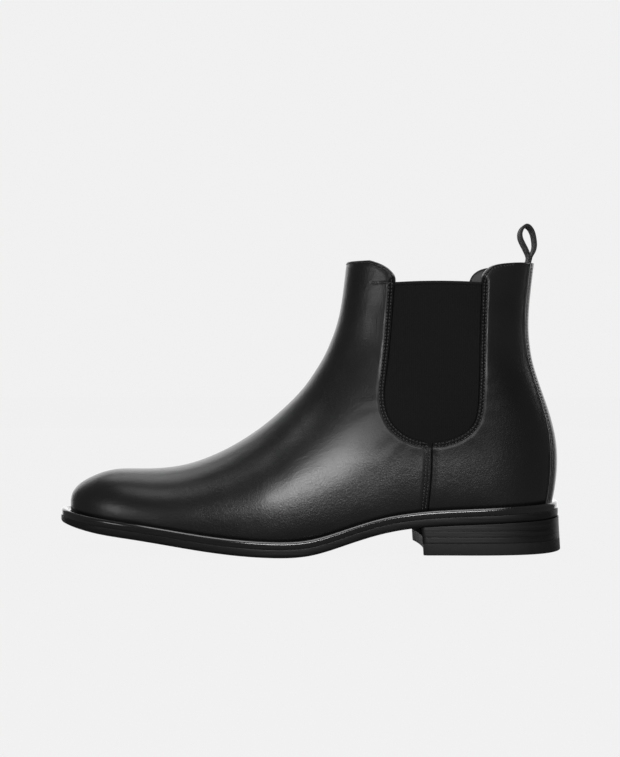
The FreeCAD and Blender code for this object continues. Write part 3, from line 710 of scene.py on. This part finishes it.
def stitches(name, path):
    """A row of stitches: short rounded bars that dive into the leather at both ends."""
    p = np.array([tuple(a) for a, _ in path])
    n = np.array([tuple(b) for _, b in path])
    n[1:-1] = n[:-2] + n[1:-1] * 2 + n[2:]
    travel = travelled(p)
    count = int(travel[-1] / PITCH)
    verts, faces = [], []

    def along_path(values, at):
        return np.array([np.interp(at, travel, values[:, c]) for c in range(3)])

    for k in range(count):
        at = (k + 0.5) * travel[-1] / count
        ends = [along_path(p, at + e * STITCH * 0.5) for e in (-1, 1)]
        normal = along_path(n, at)
        normal /= np.linalg.norm(normal)
        axis = ends[1] - ends[0]
        if np.linalg.norm(axis) > STITCH * 1.5:
            continue
        axis /= max(np.linalg.norm(axis), 1e-9)
        across = np.cross(normal, axis)
        centre = (ends[0] + ends[1]) / 2.0
        start = len(verts)
        for along, size, up in SECTIONS:
            middle_point = centre + axis * along * STITCH + normal * (up * THREAD_RADIUS * 3)
            for q in range(6):
                angle = q * math.pi / 3.0
                offset = across * math.cos(angle) + normal * math.sin(angle)
                verts.append(middle_point + offset * THREAD_RADIUS * size)
        for r in range(len(SECTIONS) - 1):
            row = start + r * 6
            for q in range(6):
                t = (q + 1) % 6
                faces.append((row + q, row + t, row + 6 + t, row + 6 + q))
        faces.append(tuple(start + q for q in range(6))[::-1])
        faces.append(tuple(start + (len(SECTIONS) - 1) * 6 + q for q in range(6)))
    return make(name, verts, faces)


def parallel(line, distance):
    """A line moved sideways, to the left of its direction."""
    d = np.gradient(line, axis=0)
    d /= np.maximum(np.linalg.norm(d, axis=1, keepdims=True), 1e-9)
    return line + np.stack([-d[:, 1], d[:, 0]], 1) * distance


threads = []


def sew(name, path):
    threads.append(stitches("thread_" + name, path))


def strap_edge(side):
    """Points along one edge of the back strap, seen from behind."""
    found = []
    for z in np.arange(31.0, 171.0, 0.8):
        y = side * (float(strap_fit(z)) - STRAP_ROW)
        got = hit_on(TREES[strap.name], (300.0, y, z), (-1.0, 0.0, 0.0))
        if got is not None:
            found.append(got)
    return found


for (side, label), quarter in zip(SIDES, quarters):
    for index, row in enumerate(GORE_ROWS):
        front = parallel(gore_u, -row)[:middle - 1]
        rear = parallel(gore_u, -row)[middle + 2:]
        sew("gore_front_%s_%d" % (label, index), on_side(front[front[:, 1] < 164.0], side, vamp))
        sew("gore_rear_%s_%d" % (label, index), on_side(rear[rear[:, 1] < 163.0], side, quarter))
    for index, row in enumerate(SEAM_ROWS):
        down = parallel(seam, -row)
        down = down[(down[:, 1] > 27.5) & (down[:, 1] < 62.5)]
        sew("side_seam_%s_%d" % (label, index), on_side(down, side, vamp))
    tab = parallel(curve(COLLAR_FRONT, EDGE_STEP), -EDGE_ROW)
    sew("tab_" + label, on_side(tab, side, vamp))
    tip = parallel(curve(COLLAR_REAR, EDGE_STEP), -EDGE_ROW)
    sew("collar_" + label, on_side(tip[tip[:, 0] < 122.0], side, quarter))
    sew("strap_" + label, strap_edge(side))
sew("collar_front", round_shaft(vamp, COLLAR_TOP - EDGE_ROW, 143.0, 217.0))
sew("tab_fold_lateral", on_side(curve([(37.0, 160.3), (43.0, 160.4), (48.5, 160.6)], EDGE_STEP), -1, vamp))


# ---- sole and heel -----------------------------------------------------------------------------------------
def sole_ring():
    outer = [(x, -h + swing(x)) for x, h in SOLE_OUTER]
    inner = [(x, h + swing(x)) for x, h in SOLE_INNER]
    return curve(outer + inner[-2:0:-1], 1.2, closed=True)


SOLE_RING = sole_ring()


def inset_ring(ring, inset):
    d = np.roll(ring, -1, axis=0) - np.roll(ring, 1, axis=0)
    d /= np.linalg.norm(d, axis=1, keepdims=True)
    return ring + np.stack([-d[:, 1], d[:, 0]], 1) * inset


def cap(ring):
    """Faces that close a ring: strips across it, from the toe back."""
    count = len(ring)
    toe = int(np.argsort(ring[:, 0])[0])
    chain = [(toe + i) % count for i in range(count)]
    left, right = 1, count - 1
    strip = [(chain[0], chain[1], chain[-1])]
    while right - left > 1:
        a, b = chain[left], chain[right]
        if left + 1 == right - 1:
            strip.append((a, chain[left + 1], b))
            break
        strip.append((a, chain[left + 1], chain[right - 1], b))
        left += 1
        right -= 1
    return strip


def stacked(name, ring, profile, height):
    """A closed piece: rings of the outline, each with an inset and a height, one above the other."""
    count = len(ring)
    points, faces = [], []
    for inset, lift in profile:
        r = inset_ring(ring, inset)
        points.append(np.column_stack([r, height(r[:, 0], lift)]))
    for k in range(len(profile) - 1):
        for i in range(count):
            j = (i + 1) % count
            faces.append((k * count + i, k * count + j, (k + 1) * count + j, (k + 1) * count + i))
    top_ring = (len(profile) - 1) * count
    strip = cap(ring)
    faces += [face[::-1] for face in strip]
    faces += [tuple(top_ring + i for i in face) for face in strip]
    return make(name, np.vstack(points), faces)


def on_sole(x, lift):
    """A height above the sole line; below it, the outsole thins a little toward the toe."""
    return sole_z(x) + lift * (1.0 - 0.18 * smooth_step(-x, 118.0, 152.0) * (lift < 0.0))


def level(x, lift):
    return np.full(len(x), lift)


# Edge profiles from the inside round the edge: inset from the outline, and height over the sole line.
WELT_PROFILE = [
    (7.5, 0.03), (0.35, 0.03), (0.16, 0.08), (0.03, 0.3), (0.0, 0.7), (0.0, 2.7), (0.03, 3.0), (0.14, 3.3),
    (0.42, 3.7), (0.78, 4.1), (0.95, 4.24), (1.25, 4.34), (1.7, 4.4), (3.6, 4.35), (4.3, 3.7), (7.5, 3.4)]
OUTSOLE_PROFILE = [
    (2.4, -5.0), (1.2, -4.92), (0.55, -4.6), (0.15, -4.0), (0.0, -3.2), (0.0, -0.5), (0.03, -0.3),
    (0.16, -0.08), (0.35, -0.03), (2.0, -0.03)]
welt = stacked("welt_edge", SOLE_RING, WELT_PROFILE, on_sole)
outsole = stacked("outsole_edge", SOLE_RING, OUTSOLE_PROFILE, on_sole)
BREAST_POINTS = 38


def heel_ring():
    """The rear of the sole's outline, closed by the bowed breast."""
    ring = inset_ring(SOLE_RING, HEEL_INSET)
    part = ring[ring[:, 0] > HEEL_FRONT - BREAST_SKEW * ring[:, 1] / (2.0 * HEEL)]
    gaps = np.linalg.norm(np.diff(np.vstack([part, part[:1]]), axis=0), axis=1)
    part = np.roll(part, -int(np.argmax(gaps)) - 1, axis=0)
    a, b = part[-1], part[0]
    t = np.linspace(0.0, 1.0, BREAST_POINTS + 2)[1:-1]
    hollow = BREAST_DEPTH * 4 * t * (1 - t)
    bow = np.column_stack([a[0] + (b[0] - a[0]) * t + hollow, a[1] + (b[1] - a[1]) * t])
    return np.vstack([part, bow])


HEEL_RING = heel_ring()


def heel_piece(name, z0, z1, soft=0.035, height=level):
    steps = [(soft * 2.0, z0), (soft, z0 + 0.04), (soft * 0.3, z0 + 0.14), (0.0, z0 + 0.35), (0.0, z1 - 0.35),
             (soft * 0.3, z1 - 0.14), (soft, z1 - 0.04), (soft * 2.0, z1)]
    profile = [(inset - HEEL_FLARE * (1.0 - z / HEEL_HEIGHT), z) for inset, z in steps]
    obj = stacked(name, HEEL_RING, profile, height)
    for v in obj.data.vertices:
        x, z = v.co.x / MM, v.co.z / MM
        v.co.x -= BREAST_LEAN * MM * z / HEEL_TOP * float(smooth_step(np.array(95.0 - x), 0.0, 28.0))
    ring = np.arange(len(HEEL_RING))
    breast = np.where((ring >= len(HEEL_RING) - BREAST_POINTS) | (ring == 0), 1.0, 0.0)
    mark_band(obj, np.tile(breast, len(profile)))
    return obj


SEAT_LIFT, SEAT_THICK = 14.0, 4.0


def wedge(x, lift):
    """The seat lift's levels rise with the outsole above it."""
    share = (lift - SEAT_LIFT) / SEAT_THICK
    return SEAT_LIFT + share * (sole_z(x) - OUTSOLE - SEAT_LIFT)


heel_parts = [
    heel_piece("heel_top_piece_rubber", 0.0, 6.94, 0.12),
    heel_piece("heel_lift_lower_edge", 7.0, 10.44),
    heel_piece("heel_lift_middle_edge", 10.5, 13.94),
    heel_piece("heel_lift_seat_edge", SEAT_LIFT, SEAT_LIFT + SEAT_THICK, height=wedge),
]


# ---- pull loop ---------------------------------------------------------------------------------------------
LOOP_X, LOOP_Z = 134.4, BACK_TOP + BACK_CROWN + 2.3


def pull_loop():
    """One tape: both ends sewn in at the collar, bent into a teardrop above it."""
    line = curve(LOOP, 0.5)
    normal = parallel(line, -1.0) - line
    half = TAPE_HALF_WIDTH
    upper = [(-half, 0.0), (-half + 0.25, 0.75), (-half + 1.2, 0.95), (-2.0, 1.0)]
    upper += [(-y, h) for y, h in upper[::-1]]
    section = upper + [(y, -h) for y, h in upper[-2:0:-1]]
    points, faces = [], []
    for (x, z), (nx, nz) in zip(line, normal):
        thick = 0.55 + 0.40 * smooth_step(np.array(z), -1.0, 5.0)
        for y, h in section:
            points.append((LOOP_X + x + nx * h * thick, y, LOOP_Z + z + nz * h * thick))
    m = len(section)
    for r in range(len(line) - 1):
        for q in range(m):
            t = (q + 1) % m
            faces.append((r * m + q, r * m + t, (r + 1) * m + t, (r + 1) * m + q))
    faces.append(tuple(range(m)))
    faces.append(tuple((len(line) - 1) * m + q for q in range(m))[::-1])
    return make("pull_loop_tape", points, faces)


loop = pull_loop()


# ---- soles inside ------------------------------------------------------------------------------------------
ACROSS = 19                  # points across a foot bed


def foot_bed(name, inset, bottom, top, x_from=-142.0):
    """A sheet lying in the boot: its outline is the last's own, at that height."""
    xs = np.linspace(x_from, 143.0, 150)
    rows = []
    for x in xs:
        height = sole_z(np.array([x]))[0] + top
        sides = []
        for side in (-1, 1):
            origin = Vector((x, side * 200.0, height))
            hit, _, _, _ = surface_tree.ray_cast(origin, Vector((0, -side, 0)))
            sides.append(None if hit is None else hit.y - side * inset)
        if None in sides or sides[1] - sides[0] < 2.0:
            continue
        t = np.linspace(0.0, 1.0, ACROSS)
        y = sides[0] + (sides[1] - sides[0]) * t
        edge = np.minimum(t, 1.0 - t) * (sides[1] - sides[0])
        soft = rounding(edge, 1.0)
        dish = 1.6 * np.abs(2 * t - 1) ** 3
        rows.append(np.column_stack([np.full(ACROSS, x), y, height - soft + dish]))
    points = np.vstack(rows)
    faces = []
    for a in range(len(points) - ACROSS):
        if (a + 1) % ACROSS:
            faces.append((a, a + ACROSS, a + ACROSS + 1, a + 1))
    normals = np.tile((0.0, 0.0, 1.0), (len(points), 1))
    flat = np.zeros(len(points))
    return Sheet(points, normals, faces).solid(name, flat, flat - (top - bottom))


sock = foot_bed("sock_lining_leather", 4.0, 6.8, 7.75)
pad = foot_bed("heel_pad_leather", 9.0, 7.9, 9.9, x_from=70.5)


# ---- materials ---------------------------------------------------------------------------------------------
def material(name, color, roughness, **sockets):
    m = bpy.data.materials.new(name)
    m.use_nodes = True
    bsdf = m.node_tree.nodes["Principled BSDF"]
    bsdf.inputs["Base Color"].default_value = (*color, 1.0)
    bsdf.inputs["Roughness"].default_value = roughness
    for key, value in sockets.items():
        bsdf.inputs[key.replace("_", " ")].default_value = value
    return m, m.node_tree, bsdf


def node(tree, kind, **settings):
    n = tree.nodes.new(kind)
    for key, value in settings.items():
        if key in n.inputs:
            n.inputs[key].default_value = value
        else:
            setattr(n, key, value)
    return n


def place_noise(tree, scale, detail=4.0, roughness=0.55, stretch=(1.0, 1.0, 1.0), **settings):
    """The value of a noise, or of cells where a feature is named, that is fixed to the object."""
    where = node(tree, "ShaderNodeTexCoord")
    mapping = node(tree, "ShaderNodeMapping", Scale=stretch)
    tree.links.new(where.outputs["Object"], mapping.inputs["Vector"])
    kind = "ShaderNodeTexVoronoi" if settings else "ShaderNodeTexNoise"
    n = node(tree, kind, Scale=scale, Detail=detail, Roughness=roughness, **settings)
    tree.links.new(mapping.outputs["Vector"], n.inputs["Vector"])
    return n.outputs[0]


def band_of(tree):
    return node(tree, "ShaderNodeAttribute", attribute_name="band").outputs["Fac"]


def ramp(tree, source, stops):
    r = node(tree, "ShaderNodeValToRGB")
    r.color_ramp.elements[0].position = stops[0][0]
    r.color_ramp.elements[0].color = (*stops[0][1], 1.0)
    r.color_ramp.elements[1].position = stops[-1][0]
    r.color_ramp.elements[1].color = (*stops[-1][1], 1.0)
    for position, color in stops[1:-1]:
        e = r.color_ramp.elements.new(position)
        e.color = (*color, 1.0)
    tree.links.new(source, r.inputs["Fac"])
    return r.outputs["Color"]


def grey(v):
    return (v, v, v)


def span(tree, source, low, high):
    """A value source from 0 to 1, put between two fixed values."""
    r = node(tree, "ShaderNodeMapRange")
    r.inputs["To Min"].default_value = low
    r.inputs["To Max"].default_value = high
    tree.links.new(source, r.inputs["Value"])
    return r.outputs["Result"]


def bump(tree, bsdf, layers):
    """Stack bumps: (height source, distance in m, strength)."""
    last = None
    for source, distance, strength in layers:
        b = node(tree, "ShaderNodeBump")
        b.inputs["Strength"].default_value = strength
        b.inputs["Distance"].default_value = distance
        tree.links.new(source, b.inputs["Height"])
        if last is not None:
            tree.links.new(last.outputs["Normal"], b.inputs["Normal"])
        last = b
    tree.links.new(last.outputs["Normal"], bsdf.inputs["Normal"])


def mixed(tree, share, color, other):
    """From a colour source to a fixed colour, by share."""
    m = node(tree, "ShaderNodeMix", data_type="RGBA")
    tree.links.new(share, m.inputs[0])
    tree.links.new(color, m.inputs[6])
    m.inputs[7].default_value = (*other, 1.0)
    return m.outputs[2]


def blended(tree, share, value, other):
    """From a value source to a fixed value, by share."""
    r = node(tree, "ShaderNodeMapRange")
    tree.links.new(share, r.inputs["Value"])
    tree.links.new(value, r.inputs["To Min"])
    r.inputs["To Max"].default_value = other
    return r.outputs["Result"]


GRAIN = 0.0001               # depth of the leather's pores, m
DULL_SHINE = 0.08            # what is left of the leather's shine in a pressed band


def smooth_leather(name, dark, light, rough, coat):
    m, t, b = material(name, dark, rough, Coat_Weight=coat, Coat_Roughness=0.22)
    cloudy = place_noise(t, 22.0, 5.0, 0.6)
    color = ramp(t, cloudy, [(0.3, dark), (0.75, light)])
    band = band_of(t)
    # Where band is up the colour darkens: the pressed bands and the elastic's foot are darker, duller leather,
    # and along the welt gap the darkening is partly edge ink and partly painted shade.
    t.links.new(mixed(t, band, color, grey(dark[0] * 0.45)), b.inputs["Base Color"])
    polish = span(t, cloudy, rough - 0.05, rough + 0.07)
    t.links.new(blended(t, band, polish, 0.5), b.inputs["Roughness"])
    t.links.new(span(t, band, 0.5, DULL_SHINE), b.inputs["Specular IOR Level"])
    t.links.new(span(t, band, coat, 0.0), b.inputs["Coat Weight"])
    fine = place_noise(t, 420.0, 6.0, 0.65)
    pores = place_noise(t, 1100.0, feature="F1")
    soft = place_noise(t, 60.0, 3.0, 0.5)
    wrinkles = place_noise(t, 210.0, feature="DISTANCE_TO_EDGE")
    bump(t, b, [(soft, 0.0007, 0.14), (wrinkles, 0.00022, 0.20),
                (fine, 0.00018, 0.55), (pores, GRAIN, 0.40)])
    return m


def ribs(tree, where, direction, scale, distortion):
    wave = node(tree, "ShaderNodeTexWave", wave_type="BANDS", bands_direction=direction, wave_profile="SIN")
    wave.inputs["Scale"].default_value = scale
    wave.inputs["Distortion"].default_value = distortion
    tree.links.new(where.outputs["Object"], wave.inputs["Vector"])
    return wave


def elastic():
    m, t, b = material("elastic_rib", (0.012, 0.012, 0.0125), 0.9, Sheen_Weight=0.03,
                       Sheen_Roughness=0.5, Specular_IOR_Level=0.25)
    where = node(t, "ShaderNodeTexCoord")
    wave = ribs(t, where, "X", 290.0, 0.4)
    wave.inputs["Detail"].default_value = 1.0
    weft = ribs(t, where, "Z", 420.0, 1.5)
    color = ramp(t, wave.outputs["Fac"], [(0.2, grey(0.0035)), (0.8, grey(0.0055))])
    t.links.new(mixed(t, band_of(t), color, grey(0.010)), b.inputs["Base Color"])
    fuzz = place_noise(t, 900.0, 4.0, 0.7)
    bump(t, b, [(wave.outputs["Fac"], 0.00025, 0.45), (weft.outputs["Fac"], 0.00015, 0.4),
                (fuzz, 0.0001, 0.4)])
    return m


def edge_ink(name, low, high, coat, shine=0.5, relief=0.25):
    """Blackened sole edge leather; where the band attribute is 1, at the heel breast, it is quite dull."""
    m, t, b = material(name, (0.008, 0.008, 0.0085), high, Coat_Weight=coat, Coat_Roughness=0.12,
                       Specular_IOR_Level=shine)
    lines = place_noise(t, 60.0, 6.0, 0.6, stretch=(0.4, 0.4, 14.0))
    color = ramp(t, lines, [(0.3, grey(0.005)), (0.75, grey(0.012))])
    t.links.new(color, b.inputs["Base Color"])
    breast = band_of(t)
    polish = span(t, lines, low, high)
    t.links.new(blended(t, breast, polish, 1.0), b.inputs["Roughness"])
    t.links.new(span(t, breast, shine, 0.03), b.inputs["Specular IOR Level"])
    spots = place_noise(t, 300.0, 5.0, 0.7)
    bump(t, b, [(lines, 0.0004, relief), (spots, 0.0002, relief * 0.8)])
    return m


def rubber():
    m, t, b = material("moulded_rubber", grey(0.008), 0.6, Specular_IOR_Level=0.3)
    spots = place_noise(t, 260.0, 6.0, 0.7)
    color = ramp(t, spots, [(0.3, grey(0.006)), (0.8, grey(0.012))])
    t.links.new(color, b.inputs["Base Color"])
    t.links.new(span(t, spots, 0.5, 0.75), b.inputs["Roughness"])
    bump(t, b, [(spots, 0.0003, 0.4)])
    return m


def cloth(name, dark, light, scale=900.0):
    m, t, b = material(name, dark, 0.85, Sheen_Weight=0.2)
    where = node(t, "ShaderNodeTexCoord")
    sources = [ribs(t, where, direction, scale / 3.0, 0.8).outputs["Fac"] for direction in ("DIAGONAL", "Z")]
    t.links.new(ramp(t, sources[0], [(0.2, dark), (0.8, light)]), b.inputs["Base Color"])
    fuzz = place_noise(t, scale, 4.0, 0.7)
    bump(t, b, [(sources[0], 0.0003, 0.6), (sources[1], 0.0003, 0.5), (fuzz, 0.0001, 0.4)])
    return m


def granular(name, dark, light, scale, rough=0.8, metal=0.0):
    """Speckled stuff: felt, board, cork or steel."""
    m, t, b = material(name, dark, rough, Metallic=metal)
    spots = place_noise(t, scale, 6.0, 0.7)
    t.links.new(ramp(t, spots, [(0.3, dark), (0.75, light)]), b.inputs["Base Color"])
    t.links.new(span(t, spots, rough - 0.1, rough + 0.1), b.inputs["Roughness"])
    bump(t, b, [(spots, 0.0003, 0.4)])
    return m


LEATHER_MAT = smooth_leather("black_calf", (0.0065, 0.0065, 0.007), (0.0105, 0.0105, 0.0118), 0.30, 0.16)
# Painted shade: the lining's grey is set darker than its own tone, standing in for the shade inside the shaft.
LINING_MAT = smooth_leather("grey_lining", (0.055, 0.055, 0.058), (0.08, 0.08, 0.084), 0.62, 0.0)
ELASTIC_MAT = elastic()
INK_MAT = edge_ink("edge_ink", 0.36, 0.54, 0.0, 0.26)
WELT_MAT = edge_ink("waxed_welt", 0.14, 0.22, 0.8, relief=0.08)
RUBBER_MAT = rubber()
TAPE_MAT = cloth("loop_tape", grey(0.010), grey(0.024))
THREAD_MAT = cloth("thread_black", grey(0.014), grey(0.032), 2600.0)
INNER = {
    "stiffener": granular("pressed_felt", (0.5, 0.45, 0.38), (0.62, 0.57, 0.5), 240.0, 0.9),
    "interlining": cloth("interlining_cotton", (0.68, 0.66, 0.6), (0.8, 0.78, 0.72)),
    "board": granular("fibre_board", (0.5, 0.4, 0.28), (0.64, 0.53, 0.4), 300.0),
    "cork": granular("cork", (0.4, 0.27, 0.15), (0.6, 0.44, 0.28), 180.0),
    "steel": granular("tempered_steel", (0.45, 0.45, 0.47), (0.6, 0.6, 0.62), 500.0, 0.35, 1.0),
    "loop_tape": TAPE_MAT,
}


CRISP_ANGLE = 38.0           # edges sharper than this stay crisp, degrees


def finish_piece(obj, mat, replaced=()):
    obj.data.materials.append(mat)
    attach(obj, "boot")
    if replaced:
        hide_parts(*replaced)


def finish_all(mat, slot, **pieces):
    for replaced, obj in pieces.items():
        finish_piece(obj, mat, [replaced])


finish_all(LEATHER_MAT, "upper_leather", vamp=vamp, quarter_lateral=quarters[0], quarter_medial=quarters[1],
           back_strap=strap)
finish_all(ELASTIC_MAT, "elastic", gore_lateral=gores[0], gore_medial=gores[1])
finish_all(LINING_MAT, "lining_leather", vamp_lining=vamp_lining, quarter_lining=quarter_lining,
           sock_lining=sock, heel_pad=pad)
finish_all(WELT_MAT, "edge_leather", welt=welt)
finish_all(INK_MAT, "edge_leather", outsole=outsole, heel_lift_lower=heel_parts[1],
           heel_lift_middle=heel_parts[2], heel_lift_seat=heel_parts[3])
finish_all(RUBBER_MAT, "rubber", heel_top_piece=heel_parts[0])
loop.data.materials.append(TAPE_MAT)
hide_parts("pull_loop", "pull_loop_tail")
for obj in threads:
    finish_piece(obj, THREAD_MAT)
slots = {s["node"]: s["material_slot"] for s in frame["record"]["subparts"]}
for name, obj in frame["nodes"].items():
    if slots.get(name) in INNER:
        obj.data.materials.clear()
        obj.data.materials.append(INNER[slots[name]])
single_pieces = [vamp, strap, vamp_lining, quarter_lining, welt, outsole, sock, pad, loop]
for obj in single_pieces + quarters + gores + heel_parts:
    keep_edges(obj, CRISP_ANGLE)
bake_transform(loop)


# ---- floor, light, camera ----------------------------------------------------------------------------------
PALE = 0.877                 # the studio's even pale grey
AMBIENT = 0.10               # the sky's strength where the camera does not see it
FLOOR_SHADE = 0.006          # what the lamps add to the floor
FLOOR_HALF = 6.0             # half the floor's side, m


def floor():
    mesh = bpy.data.meshes.new("floor")
    corners = [(x * FLOOR_HALF, y * FLOOR_HALF, 0.0) for x, y in ((-1, -1), (1, -1), (1, 1), (-1, 1))]
    mesh.from_pydata(corners, [], [(0, 1, 2, 3)])
    obj = bpy.data.objects.new("floor", mesh)
    bpy.context.scene.collection.objects.link(obj)
    m, _, _ = material("pale_floor", grey(0.01), 1.0, Specular_IOR_Level=0.0,
                       Emission_Color=(1.0, 1.0, 1.0, 1.0), Emission_Strength=PALE - FLOOR_SHADE)
    mesh.materials.append(m)
    obj.visible_glossy = False
    obj.visible_diffuse = False
    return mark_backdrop(obj)


def area_light(name, place, target, size, power, roll=0.0):
    """A softbox of size (width, height) in metres; roll turns it about its own aim, in degrees."""
    light = bpy.data.lights.new(name, "AREA")
    light.shape = "RECTANGLE"
    light.size, light.size_y = size
    light.energy = power
    obj = bpy.data.objects.new(name, light)
    obj.location = place
    aim = (Vector(target) - Vector(place)).to_track_quat("-Z", "Y")
    obj.rotation_euler = (aim @ Quaternion((0.0, 0.0, 1.0), math.radians(roll))).to_euler()
    bpy.context.scene.collection.objects.link(obj)
    return obj


floor()
area_light("top_softbox", (-0.05, -0.32, 1.1), (0.0, 0.0, 0.05), (0.9, 0.4), 3.6)
area_light("key_softbox", (0.11, -1.12, 0.40), (0.01, -0.04, 0.05), (0.52, 0.28), 7.6, roll=-20.0)
area_light("left_strip", (-0.98, -0.74, 0.26), (0.03, 0.0, 0.14), (0.20, 0.30), 1.15)
rear = area_light("rear_softbox", (-0.45, 1.0, 1.5), (0.0, 0.0, 0.05), (1.0, 0.6), 3.0)
wall = area_light("back_wall", (0.1, 1.7, 0.48), (0.0, 0.0, 0.30), (3.9, 1.6), 25.0)
for behind in (rear, wall):
    behind.visible_camera = False
world = bpy.data.worlds.new("studio")
world.use_nodes = True
tree = world.node_tree
background = tree.nodes["Background"]
background.inputs["Color"].default_value = (1.0, 1.0, 1.0, 1.0)
seen = node(tree, "ShaderNodeLightPath").outputs["Is Camera Ray"]
tree.links.new(span(tree, seen, AMBIENT, PALE), background.inputs["Strength"])
bpy.context.scene.world = world
bpy.context.scene.view_settings.view_transform = "Standard"

camera = bpy.data.cameras.new("camera")
camera.lens = 58.3
camera.sensor_width = 36.0
camera_object = bpy.data.objects.new("camera", camera)
camera_object.location = (0.0, -0.750, 0.103)
camera_object.rotation_euler = (math.pi / 2.0, 0.0, 0.0)
bpy.context.scene.collection.objects.link(camera_object)
bpy.context.scene.camera = camera_object

bpy.context.view_layer.update()
